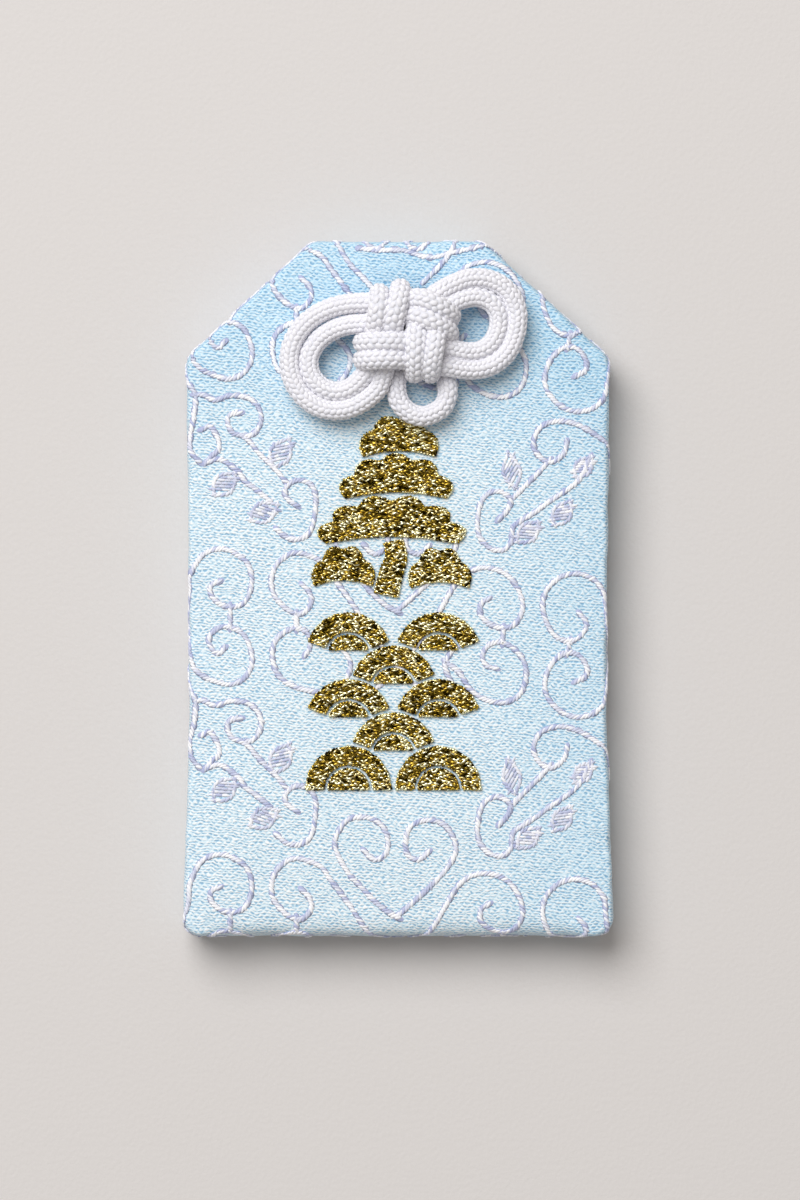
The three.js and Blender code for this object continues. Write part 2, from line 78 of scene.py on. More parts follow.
# The photo's frame: its size, the size of a pixel, and the pixel over the pouch's middle
PHOTO_SIZE = (800, 1200)
PHOTO_PIXEL = 0.1085 * MM
PHOTO_MIDDLE = (398, 589)

# Route of the cord in mm, from the middle of the knot on the front face
KNOT_MIDDLE = (0.76, 27.9)
KNOT_ROUTE = [
    (-0.6, 3.2, 1.1), (-0.58, 3.95, 2.1), (-0.52, 4.35, 3.3), (-0.5, 4.05, 4.5),
    (-0.7, 3.1, 5.3), (-1, 1.9, 5.45), (-1.3, 0.8, 5.1), (-1.45, -0.2, 4.2), (-1.55, -1.3, 3.45),
    (-1.9, -2.8, 3.3), (-2.25, -4.3, 3.25), (-2.35, -4.65, 3.2), (-2.75, -6.1, 2.95),
    (-4, -7.4, 2.7), (-6.3, -8.55, 2.45), (-8.9, -8.45, 2.3), (-11.2, -6.9, 2.2),
    (-12.4, -4.2, 2.15), (-12.1, -1.4, 2.15), (-10.4, 0.95, 2.25), (-8, 2.3, 2.55),
    (-6, 2.75, 2.95), (-4.75, 2.82, 3.15), (-4.4, 2.83, 3.2), (-2.6, 2.85, 3.3),
    (-0.8, 2.85, 3.25), (0.5, 3.1, 4), (1.7, 3.2, 4.95), (3, 2.75, 5.25), (4.2, 2, 4.7),
    (4.9, 1.5, 3.5), (4.6, 1, 2.2), (3.6, 0.2, 1.6), (2.9, -1.2, 1.55), (2.7, -2.7, 1.55),
    (2.75, -4, 1.9), (2.75, -4.75, 3.1), (2.75, -4.3, 4.5), (2.9, -3.2, 5.25), (3.1, -2, 5.45),
    (3.25, -0.8, 5), (3.3, 0.3, 4), (3.4, 1.2, 3.4), (3.9, 2.05, 3.3), (4.2, 2.25, 3.25),
    (5.2, 2.85, 3.05), (6.4, 3.35, 2.8), (7.8, 3.5, 2.5), (9.3, 2.9, 2.3), (10.1, 1.6, 2.2),
    (10.05, 0.1, 2.2), (9.4, -1.35, 2.25), (8.2, -2.25, 2.4), (6.6, -2.45, 2.75),
    (4.65, -2.05, 3.2), (4.3, -1.98, 3.25), (2.9, -1.75, 3.35), (1.5, -1.6, 3.5),
    (0.4, -1.45, 4.1), (-0.7, -1.45, 4.95), (-2, -1.45, 5.35), (-3.3, -1.45, 5.1),
    (-4.3, -1.5, 4.2), (-4.5, -1.4, 2.9), (-4, -0.8, 1.9), (-3.5, 0.3, 1.55), (-3.2, 1.6, 1.6),
    (-2.95, 2.8, 2), (-2.8, 3.7, 3), (-2.75, 3.7, 4.3), (-2.75, 2.9, 5.2), (-2.85, 1.8, 5.4),
    (-3, 0.8, 5.05), (-3.15, -0.2, 4.2), (-3.3, -1.4, 3.45), (-3.5, -2.8, 3.25),
    (-3.8, -4.05, 3.2), (-3.95, -4.35, 3.15), (-4.7, -5.3, 2.9), (-5.7, -6.2, 2.65),
    (-7.1, -6.7, 2.45), (-8.8, -6.3, 2.3), (-10.1, -4.9, 2.2), (-10.35, -3.1, 2.2),
    (-9.5, -1.4, 2.25), (-8, -0.2, 2.5), (-6.2, 0.45, 2.85), (-4.35, 0.62, 3.15),
    (-4, 0.67, 3.2), (-2.6, 0.95, 3.35), (-1.2, 1.3, 3.4), (0.1, 1.5, 3.8), (1.2, 1.45, 4.7),
    (2.4, 1.05, 5.3), (3.6, 0.45, 5), (4.5, -0.1, 4), (4.7, -0.7, 2.8), (4.6, -1.8, 1.9),
    (4.4, -3, 1.55), (4.3, -4.2, 1.5), (4.3, -4.55, 1.5), (4.5, -5.8, 1.9), (4.6, -7, 2.1),
    (4, -8.35, 2.15), (2.8, -9.1, 2.15), (1.6, -9.3, 2.15), (0.4, -8.85, 2.15),
    (-0.6, -7.8, 2.15), (-0.95, -6.4, 2.05), (-0.9, -4.75, 1.65), (-0.9, -4.4, 1.6),
    (-1.9, -3.6, 1.55), (-3.2, -3.3, 1.7), (-4.3, -3.25, 2.6), (-4.5, -3.3, 3.8),
    (-3.8, -3.3, 4.9), (-2.6, -3.25, 5.35), (-1.3, -3.2, 5.2), (-0.2, -3.25, 4.4),
    (0.9, -3.4, 3.6), (2.2, -3.7, 3.35), (3.4, -3.9, 3.35), (4.55, -4.02, 3.35),
    (4.9, -4.05, 3.3), (6, -4.25, 3), (7.6, -4.3, 2.65), (9.4, -3.8, 2.4), (11, -2.4, 2.2),
    (11.95, -0.1, 2.15), (11.95, 2.4, 2.15), (10.8, 4.4, 2.2), (8.9, 5.4, 2.35),
    (6.8, 5.45, 2.65), (5.2, 4.85, 3), (4.2, 4.35, 3.2), (3.9, 4.15, 3.25), (2.9, 3.4, 3.35),
    (2, 2.4, 3.4), (1.5, 1.2, 3.6), (1.3, 0.1, 4.3), (1.2, -1, 5.1), (1.15, -2.2, 5.4),
    (1.1, -3.4, 5.1), (1.1, -4.4, 4.2), (1, -4.7, 3), (0.75, -4.1, 1.9), (0.5, -2.8, 1.55),
    (0.4, -1, 1.55), (0.6, 0.8, 1.5), (1.2, 2.2, 1.35), (1.6, 3.2, 1.1),
]

# Route of the tails in mm, from the eyelet on the front face: down a leg, round and up the other
TAILS_ROUTE = [
    (-1.1, 0, 1.1), (-0.8, 0, 0.4), (-0.6, 0, -0.4), (-0.68, 0, -1.05), (-1.15, 0, -1.8),
    (-1.75, -0.5, -2.6), (-1.1, -1.6, -3.1), (0.5, -1.85, -3.25), (1.75, -0.8, -3),
    (1.6, 0.95, -2.6), (0.2, 1.85, -2.5), (-1.4, 1.3, -2.75), (-1.85, 0, -3.2),
    (-0.7, -0.7, -3.3), (0.7, -0.3, -2.7), (1.15, 0, -1.8), (0.68, 0, -1.05), (0.6, 0, -0.4),
    (0.8, 0, 0.4), (1.1, 0, 1.1),
]

# One repeat of the woven scrolls, in pixels of the photo, and how far apart the repeats are
SCROLL_REPEAT = 304
SCROLL_STROKES = [
    [(166, 634), (178, 622), (186, 607), (190, 593), (191, 579), (196, 566), (205, 554),
     (222, 549), (235, 553), (247, 562), (252, 574), (252, 587), (247, 600), (239, 606),
     (226, 606), (216, 600), (211, 591), (214, 584), (220, 582)],
    [(231, 607), (231, 627)],
    [(225, 648), (220, 653), (214, 650), (210, 642), (212, 634), (222, 627), (234, 628),
     (244, 634), (250, 645), (253, 659), (250, 671), (242, 680), (230, 684), (217, 681),
     (205, 676), (196, 668), (192, 657), (189, 645), (184, 633), (176, 626)],
    [(398, 664), (383, 648), (371, 632), (362, 618), (350, 600), (330, 573), (322, 562),
     (310, 556), (296, 553), (284, 558), (276, 567), (272, 580), (274, 593), (280, 602),
     (289, 610), (300, 614), (309, 608), (312, 600), (309, 591), (303, 585)],
    [(297, 614), (297, 628)],
    [(306, 654), (310, 648), (309, 634), (298, 628), (285, 632), (276, 641), (273, 652),
     (274, 662), (278, 673), (287, 682), (298, 687), (309, 690), (319, 692)],
    [(365, 850), (372, 857), (378, 858), (387, 850), (388, 840), (384, 827), (373, 818),
     (362, 816), (349, 818), (340, 828), (335, 841), (337, 850), (342, 861), (352, 876),
     (362, 886), (375, 900), (387, 910), (398, 916)],
    [(428, 851), (419, 858), (409, 855), (406, 848), (406, 836), (411, 825), (421, 820),
     (431, 819), (443, 823), (450, 831), (455, 842), (455, 852), (448, 865), (438, 877),
     (427, 888), (416, 898), (407, 906), (398, 914)],
    [(398, 664), (414, 648), (426, 632), (436, 617), (449, 594), (458, 580), (470, 571),
     (488, 568), (506, 575), (518, 590), (522, 608), (515, 623), (503, 628), (488, 623),
     (480, 614), (482, 602), (488, 599)],
    [(503, 628), (502, 642)],
    [(495, 668), (486, 665), (482, 656), (488, 645), (500, 642), (515, 650), (524, 663),
     (525, 680), (518, 695), (503, 702), (485, 699), (470, 689), (458, 671), (446, 662)],
    [(630, 652), (618, 645), (609, 630), (605, 611), (603, 593), (593, 580), (578, 574),
     (560, 577), (546, 590), (542, 605), (545, 620), (554, 635), (569, 641), (582, 633),
     (585, 623), (579, 614)],
    [(569, 641), (566, 653)],
    [(575, 681), (585, 675), (585, 665), (576, 654), (564, 653), (552, 662), (545, 677),
     (545, 692), (555, 707), (572, 716), (590, 714), (602, 704), (606, 689), (610, 674),
     (618, 662), (628, 655)],
    [(240, 718), (235, 718), (229, 722), (229, 729), (234, 738), (243, 740), (252, 740),
     (259, 733), (262, 724), (260, 714), (251, 704), (241, 701), (229, 701), (216, 705),
     (204, 700), (196, 700)],
    [(243, 741), (251, 747), (258, 756), (270, 768), (278, 776), (286, 786)],
    [(297, 810), (287, 802), (286, 794), (292, 787), (302, 785), (312, 790), (316, 800),
     (316, 812), (314, 826), (310, 837), (300, 843), (288, 842), (278, 834)],
    [(204, 734), (210, 731), (216, 738), (220, 748), (219, 755), (213, 760), (207, 767)],
    [(210, 766), (221, 764), (231, 770), (240, 777), (245, 785), (258, 795), (270, 805)],
    [(166, 668), (178, 675), (189, 688), (196, 700), (195, 722), (191, 742), (193, 757),
     (200, 766)],
    [(566, 747), (563, 758), (549, 767), (536, 758), (533, 746), (540, 732), (557, 726),
     (575, 729), (590, 737), (603, 746), (616, 760), (626, 778)],
    [(549, 765), (537, 778), (524, 791), (514, 801)],
    [(499, 823), (507, 814), (510, 804), (499, 796), (488, 798), (481, 806), (478, 818),
     (477, 831), (481, 844), (491, 853), (503, 854), (511, 846)],
    [(589, 762), (578, 784), (562, 797), (547, 807), (535, 816), (524, 823), (513, 831),
     (511, 840)],
    [(398, 666), (386, 680), (371, 690), (354, 694), (340, 690), (347, 678), (351, 664),
     (345, 652), (334, 643)],
    [(398, 666), (410, 680), (425, 690), (442, 694), (456, 690), (449, 678), (445, 664),
     (451, 652), (462, 643)],
]

# Leaves of one repeat: middle and tip in pixels of the photo, and width as a share of the length
SCROLL_LEAVES = [
    ((281, 758), (289, 745), 0.7), ((225, 789), (235, 779), 0.75), ((264, 817), (277, 810), 0.7),
    ((511, 776), (508, 760), 0.55), ((561, 818), (569, 807), 0.7), ((527, 837), (537, 828), 0.7),
    ((582, 772), (590, 763), 0.7),
]

# A line of thread that shows only along the mouth
MOUTH_STROKE = [(360, 250), (382, 252), (404, 252), (430, 259), (450, 255), (490, 246)]


# Colour and node helpers
def linear(hex_colour):
    """Linear RGBA of an sRGB hex colour."""
    parts = [int(hex_colour[i : i + 2], 16) / 255 for i in (1, 3, 5)]
    return [p / 12.92 if p <= 0.04045 else ((p + 0.055) / 1.055) ** 2.4 for p in parts] + [1.0]


def add_node(tree, kind, inputs=None, stops=(), **settings):
    """Adds a node. An input is a plain value, or an output socket that is linked to it."""
    node = tree.nodes.new(kind)
    for key, value in settings.items():
        setattr(node, key, value)
    for key, value in (inputs or {}).items():
        if isinstance(value, bpy.types.NodeSocket):
            tree.links.new(value, node.inputs[key])
        else:
            node.inputs[key].default_value = value
    # The stops of a ramp are places with linear colours
    for _ in stops[2:]:
        node.color_ramp.elements.new(0.5)
    for i, (place, tint) in enumerate(stops):
        node.color_ramp.elements[i].position = place
        node.color_ramp.elements[i].color = tint
    return node


def new_material(name):
    """An empty node material and its tree."""
    material = bpy.data.materials.new(name)
    material.use_nodes = True
    material.node_tree.nodes.clear()
    return material, material.node_tree


# Sizes and colours that a user would change
def length(name, description, millimetres):
    """A length property, from a size in mm."""
    return FloatProperty(
        name=name, description=description, default=millimetres * MM, precision=5, unit="LENGTH"
    )


def colour(name, description, hex_colour):
    """A colour property, from an sRGB hex colour."""
    return FloatVectorProperty(
        name=name, description=description, default=linear(hex_colour), size=4, min=0, max=1,
        subtype="COLOR",
    )


class PouchSettings(bpy.types.PropertyGroup):
    """Sizes and colours of the sewn pouch and its filling"""

    base_width: length("Base width", "Across the bottom, where the filling settles", 46.8)
    waist_width: length("Waist width", "Narrowest place between the sides", 45.1)
    waist_rise: length("Waist rise", "Bottom fold up to the waist", 24)
    shoulder_width: length("Shoulder width", "Across the two shoulder corners", 45.8)
    shoulder_drop: length("Shoulder drop", "Mouth edge down to the shoulders", 12.6)
    mouth_width: length("Mouth width", "Straight edge between the folded shoulders", 18.6)
    corner_round: length("Corner round", "Radius of the outline's corners", 2)
    side_round: length("Side round", "Rounding of the sewn rim at the front", 0.7)
    back_round: length("Back round", "Rounding of the sewn rim at the back", 1.8)
    fold_round: length("Fold round", "Rounding of the bottom fold", 3.8)
    edge_drop: length("Edge drop", "Height of the rounding at the front", 1.3)
    filling_inset: length("Filling inset", "Outline of the pouch in to the wadding", 2.5)
    rim: length("Rim", "Upright band along the seam", 0.8)
    groove: length("Groove", "How far the slip stitches draw the seam in", 0.4)
    crown: length("Crown", "Swell of the middle over the filling", 0.3)
    dimple: length("Dimple", "How far the cord draws the cloth in at the eyelet", 0.55)
    pucker: length("Pucker", "Small folds along the sewn edges", 0.12)
    cloth: length("Cloth", "Thickness of the brocade", 0.45)
    float_length: length("Float length", "Repeat of the floats along a row", 0.64)
    float_pitch: length("Float pitch", "Spacing of the rows of floats", 0.32)
    # Between the floats the blue ground of the weave, darkened as painted shade; on their tops a
    # painted highlight
    ground_and_shade_colour: colour("Gap colour", "Between the floats", "#8fbbd9")
    cloth_colour: colour("Cloth colour", "Body of the brocade", "#dbf0fa")
    painted_crest_highlight: colour("Crest colour", "Tops of the floats", "#fbfdff")
    # Painted shade: a darker, bluer tint of the cloth towards the mouth, the sides and round the
    # rim
    painted_cloth_shade: colour("Deeper dye", "Tint of the cloth towards the mouth", "#d9eefa")
    seam_colour: colour("Seam shade", "Darker plies of the sewing thread", "#a8cae1")
    seam_light: colour("Seam light", "Lighter plies of the sewing thread", "#d5e7f3")


class CordSettings(bpy.types.PropertyGroup):
    """Sizes and colours of the braided cord"""

    diameter: length("Diameter", "Across the braided cord", 2.1)
    plait_pitch: length("Plait pitch", "Length of one lump of the braid along the cord", 0.64)
    columns: IntProperty(
        name="Columns", description="Columns of lumps round the cord", default=10, min=4, max=16
    )
    # Painted shade: the darker, bluish yarn colour stands in for shade on the core between the
    # lumps
    painted_cord_shade: colour("Shade colour", "Yarn between the lumps", "#dedfe8")
    yarn_colour: colour("Yarn colour", "Tops of the lumps", "#eeedf3")


class EmbroiderySettings(bpy.types.PropertyGroup):
    """Sizes and colours of the scroll thread and the gold thread"""

    scroll_pitch: length("Scroll pitch", "Spacing of the stitches along a scroll", 0.4)
    scroll_stitch: length("Scroll stitch", "Length of a scroll stitch", 0.95)
    scroll_width: length("Scroll width", "Width of a scroll stitch", 0.37)
    gold_pitch: length("Gold pitch", "Spacing of the rows of gold thread", 0.27)
    gold_stitch: length("Gold stitch", "Length of a gold stitch", 0.8)
    gold_width: length("Gold width", "Width of a gold stitch", 0.26)
    # The scroll thread's two colours are its painted shade and painted highlight; each stitch takes
    # a random mix
    scroll_painted_shade: colour("Scroll shade", "Darker plies of the scroll thread", "#a9b2d8")
    scroll_painted_highlight: colour("Scroll light", "Lighter plies of the scroll thread", "#f9f9fd")
    # Gold shade and gold light are painted shade and painted highlight on the gilt; gold middle is
    # its own colour
    gold_painted_shade: colour("Gold shade", "Thread turned from the light", "#211800")
    gold_middle: colour("Gold middle", "Most of the gold thread", "#d3b347")
    gold_painted_highlight: colour("Gold light", "Bright flecks of the gold thread", "#fffad2")


class StageSettings(bpy.types.PropertyGroup):
    """The floor, the light and the camera"""

    camera_height: length("Camera height", "Camera above the floor", 700)
    key_power: FloatProperty(
        name="Key power", description="Power of the soft light at the upper left", default=15.6,
        unit="POWER",
    )
    fill: FloatProperty(
        name="Fill", description="Strength of the even light from all round", default=0.34, min=0
    )
    fill_colour: colour("Fill colour", "Tint of the even light", "#fffaf4")
    floor_colour: colour("Floor colour", "Plain pale backdrop", "#dad6d4")


# Paths, frames and meshes
def even_path(points, step):
    """Centripetal curve through the points, sampled at an even step."""
    points = np.asarray(points, float)
    ends = 2 * points[0] - points[1], 2 * points[-1] - points[-2]
    knots = np.vstack([ends[0], points, ends[1]])
    samples = []
    for p0, p1, p2, p3 in zip(knots, knots[1:], knots[2:], knots[3:]):
        t1 = np.linalg.norm(p1 - p0) ** 0.5
        t2 = t1 + np.linalg.norm(p2 - p1) ** 0.5
        t3 = t2 + np.linalg.norm(p3 - p2) ** 0.5
        t = np.linspace(t1, t2, 24, endpoint=False)[:, None]
        a1 = p0 + (p1 - p0) * t / t1
        a2 = p1 + (p2 - p1) * (t - t1) / (t2 - t1)
        a3 = p2 + (p3 - p2) * (t - t2) / (t3 - t2)
        b1 = a1 + (a2 - a1) * t / t2
        b2 = a2 + (a3 - a2) * (t - t1) / (t3 - t1)
        samples.append(b1 + (b2 - b1) * (t - t1) / (t2 - t1))
    samples = np.vstack([*samples, points[-1:]])
    run = np.concatenate([[0], np.cumsum(np.linalg.norm(np.diff(samples, axis=0), axis=1))])
    places = np.linspace(0, run[-1], max(2, round(run[-1] / step) + 1))
    return np.stack([np.interp(places, run, axis) for axis in samples.T], axis=1)


def unit(vectors):
    """The vectors at unit length."""
    return vectors / np.maximum(np.linalg.norm(vectors, axis=-1, keepdims=True), 1e-12)


def path_frames(path):
    """Tangent, normal and binormal along a path, with no more twist than it needs."""
    tangents = unit(np.gradient(path, axis=0))
    normal = np.cross(tangents[0], (0.3, 0.2, 0.9))
    normals = []
    for tangent in tangents:
        normal = unit(normal - tangent * normal.dot(tangent))
        normals.append(normal)
    normals = np.array(normals)
    return tangents, normals, np.cross(tangents, normals)


def circle(count):
    """Points round a circle of radius 1."""
    turns = np.linspace(0, 2 * math.pi, count, endpoint=False)
    return np.stack([np.cos(turns), np.sin(turns)], axis=1)


# Girth of a tube's two end rings, as a share of the tube's
TUBE_END = 0.55


def tube(path, radius, sides):
    """Points and faces of a round tube with rounded ends."""
    _, normals, binormals = path_frames(path)
    round_in = np.ones(len(path))
    round_in[[0, -1]] = TUBE_END
    cosines, sines = circle(sides).T[:, :, None]
    spokes = normals[:, None] * cosines + binormals[:, None] * sines
    rings = path[:, None] + spokes * (radius * round_in)[:, None, None]
    faces = []
    for ring in range(len(path) - 1):
        for side in range(sides):
            here = ring * sides + side
            next_side = ring * sides + (side + 1) % sides
            faces.append((here, next_side, next_side + sides, here + sides))
    last = (len(path) - 1) * sides
    faces.append(tuple(reversed(range(sides))))
    faces.append(tuple(range(last, last + sides)))
    return rings.reshape(-1, 3), faces


# A stitch: the sides of its rings, their places from its middle to its tips, and how blunt it is
STITCH_SIDES = 6
STITCH_RINGS = (-0.8, -0.3, 0.3, 0.8)
STITCH_BLUNTNESS = 2.5
POINTS_PER_STITCH = 2 + STITCH_SIDES * len(STITCH_RINGS)


def stitches(centres, along, outward, lengths, widths, heights, dip):
    """Points and faces of many stitches, each a pointed pill whose ends dip into the cloth."""
    count = len(centres)
    template = [(-1.0, 0.0, 0.0)]
    for place in STITCH_RINGS:
        girth = (1 - abs(place) ** STITCH_BLUNTNESS) ** 0.5
        template += [(place, girth * x, girth * y) for x, y in circle(STITCH_SIDES)]
    template = np.array([*template, (1.0, 0.0, 0.0)])
    sideways = unit(np.cross(outward, along))
    upward = np.cross(along, sideways)
    half = np.stack(np.broadcast_arrays(lengths, widths, heights, np.zeros(count)), axis=1) / 2
    points = (
        np.asarray(centres)[:, None]
        + along[:, None] * (template[:, 0] * half[:, :1])[..., None]
        + sideways[:, None] * (template[:, 1] * half[:, 1:2])[..., None]
        + upward[:, None] * (template[:, 2] * half[:, 2:3] - dip * template[:, 0] ** 2)[..., None]
    )
    last = len(template) - 1
    pill = []
    for side in range(STITCH_SIDES):
        next_side = (side + 1) % STITCH_SIDES
        pill.append((0, 1 + next_side, 1 + side))
        for ring in range(len(STITCH_RINGS) - 1):
            here = 1 + ring * STITCH_SIDES
            above = here + STITCH_SIDES
            pill.append((here + side, here + next_side, above + next_side, above + side))
        top = last - STITCH_SIDES
        pill.append((top + side, top + next_side, last))
    faces = [
        tuple(index + stitch * len(template) for index in face)
        for stitch in range(count)
        for face in pill
    ]
    return points.reshape(-1, 3), faces


def join(*parts):
    """Points and faces of several parts in one list."""
    points = np.vstack([part[0] for part in parts])
    faces = []
    start = 0
    for part_points, part_faces in parts:
        faces += [tuple(index + start for index in face) for face in part_faces]
        start += len(part_points)
    return points, faces


def make_piece(name, points, faces, material, body, replaces=(), attributes=None):
    """A smooth-shaded mesh piece that rides on a body, with attributes on its points or corners."""
    mesh = bpy.data.meshes.new(name)
    mesh.from_pydata(np.asarray(points).tolist(), [], faces)
    for key, values in (attributes or {}).items():
        values = np.asarray(values, float)
        kind = "FLOAT" if values.ndim == 1 else "FLOAT_VECTOR"
        domain = "POINT" if len(values) == len(points) else "CORNER"
        layer = mesh.attributes.new(key, kind, domain)
        layer.data.foreach_set("value" if values.ndim == 1 else "vector", values.ravel())
    mesh.shade_smooth()
    mesh.materials.append(material)
    piece = bpy.data.objects.new(name, mesh)
    bpy.context.scene.collection.objects.link(piece)
    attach(piece, body)
    if replaces:
        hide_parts(*replaces)
    return piece


# A braid: radius of its core and of the middles of its lumps as shares of the cord's, sides of the
# core, and lean of the lumps
BRAID_CORE = 0.9
BRAID_LUMPS = 0.84
CORE_SIDES = 12
BRAID_LEAN = math.radians(27)
# Least and most length of a lump as a share of the plait's pitch, width and height as shares of the
# cord's radius, and shade, lighter than the core's painted shade, and how far its ends dip as a
# share of the cord's diameter
LUMP_LENGTHS = (1.4, 1.65)
LUMP_WIDTHS = (0.5, 0.6)
LUMP_HEIGHTS = (0.33, 0.41)
LUMP_SHADES = (0.4, 0.9)
LUMP_DIP = 0.04


def braided(path, cord, rng, girth):
    """Points, faces, shades and route of a round braid: a core under columns of leaning lumps."""
    fine = even_path(path, cord.diameter / 20)
    radius = cord.diameter / 2 * girth(fine)
    step = np.linalg.norm(fine[1] - fine[0])
    tangents, normals, binormals = path_frames(fine)
    picked = np.unique([*range(0, len(fine), 5), len(fine) - 1])
    core = tube(fine[picked], radius[picked] * BRAID_CORE, CORE_SIDES)
    rows = int((len(fine) - 1) * step / cord.plait_pitch)
    pitch = (len(fine) - 1) / rows
    centres, along, outward, girths = [], [], [], []
    for column in range(cord.columns):
        angle = 2 * math.pi * column / cord.columns
        places = (np.arange(rows) + 0.25 + 0.5 * (column % 2)) * pitch
        places = np.clip(places.round().astype(int), 0, len(fine) - 1)
        spokes = normals[places] * math.cos(angle) + binormals[places] * math.sin(angle)
        turn = np.cross(tangents[places], spokes) * math.sin(BRAID_LEAN) * (-1) ** column
        girths.append(radius[places])
        centres.append(fine[places] + spokes * radius[places, None] * BRAID_LUMPS)
        along.append(unit(tangents[places] * math.cos(BRAID_LEAN) + turn))
        outward.append(spokes)
    girths = np.concatenate(girths)
    count = len(girths)
    lumps = stitches(
        np.vstack(centres), np.vstack(along), np.vstack(outward),
        cord.plait_pitch * rng.uniform(*LUMP_LENGTHS, count),
        girths * rng.uniform(*LUMP_WIDTHS, count),
        girths * rng.uniform(*LUMP_HEIGHTS, count),
        cord.diameter * LUMP_DIP,
    )
    points, faces = join(core, lumps)
    # The core takes the darkest shade, painted shade between the lumps; each lump takes a random
    # lighter one
    lump_shades = np.repeat(rng.uniform(*LUMP_SHADES, count), POINTS_PER_STITCH)
    shades = np.concatenate([np.zeros(len(core[0])), lump_shades])
    return points, faces, shades, fine[picked]


# The pouch's form: spacing of the points of its outline and its flat faces, the bare margin along
# a flat face's edge, and the tightest corner
OUTLINE_STEP = 0.55 * MM
FACE_STEP = 0.8 * MM
FACE_MARGIN = 0.5 * MM
TIGHTEST_CORNER = 0.2 * MM


def pouch_outline(pouch, inset):
    """Outline of the pouch drawn in by an inset, anticlockwise, with one count for any inset."""
    half_base, half_waist = pouch.base_width / 2, pouch.waist_width / 2
    half_shoulder, half_mouth = pouch.shoulder_width / 2, pouch.mouth_width / 2
    waist = POUCH_BOTTOM + pouch.waist_rise
    shoulder = POUCH_TOP - pouch.shoulder_drop
    corners = np.array([
        (-half_base, POUCH_BOTTOM), (half_base, POUCH_BOTTOM), (half_waist, waist),
        (half_shoulder, shoulder), (half_mouth, POUCH_TOP), (-half_mouth, POUCH_TOP),
        (-half_shoulder, shoulder), (-half_waist, waist),
    ])
    arcs = []
    for before, corner, after in zip(np.roll(corners, 1, 0), corners, np.roll(corners, -1, 0)):
        edges = unit(corner - before), unit(after - corner)
        normal_in, normal_out = (np.array((-along[1], along[0])) for along in edges)
        turn = math.atan2(
            normal_in[0] * normal_out[1] - normal_in[1] * normal_out[0], normal_in @ normal_out
        )
        side = -1 if turn < 0 else 1
        miter = (normal_in + normal_out) / (1 + normal_in @ normal_out)
        rounding = max(pouch.corner_round, side * inset + TIGHTEST_CORNER)
        centre = corner + miter * side * rounding
        start = math.atan2(normal_in[1], normal_in[0])
        angles = start + turn * np.linspace(0, 1, 9)
        spokes = np.stack([np.cos(angles), np.sin(angles)], axis=1)
        arcs.append(centre - spokes * side * (rounding - side * inset))
    outline = []
    for i, arc in enumerate(arcs):
        following = arcs[(i + 1) % len(arcs)][0]
        gap = np.linalg.norm(corners[(i + 1) % len(corners)] - corners[i])
        shares = np.linspace(0, 1, round(gap / OUTLINE_STEP), endpoint=False)[1:, None]
        outline += [*arc, *(arc[-1] + (following - arc[-1]) * shares)]
    return np.array(outline)


def smooth_step(low, high, values):
    """0 below low, 1 above high and smooth between."""
    share = np.clip((values - low) / (high - low), 0, 1)
    return share * share * (3 - 2 * share)


def ripple(points, size):
    """Smooth noise at each point, with features of about this size."""
    return np.array([noise.noise(Vector(point) / size) for point in points])


def edge_distance(points, outline):
    """Distance of each point from an outline, by every fourth point of that."""
    return np.min(np.linalg.norm(points[:, None] - outline[None, ::4], axis=2), axis=1)


# The pouch's rim: rings of its wall and its rounding, how far the wall leans in as a share of the
# rounding, and how square the rounding is
WALL_RINGS = 5
ROUND_RINGS = 10
WALL_LEAN = 0.08
ROUND_SQUARENESS = 0.6
# Where the bottom fold gives way to the sewn rim: heights above it, and distances from its corners
FOLD_ENDS = (1.5 * MM, 7 * MM)
FOLD_CORNERS = (7 * MM, 2 * MM)
# Distance from the rim over which the front swells
CROWN_REACH = 5 * MM


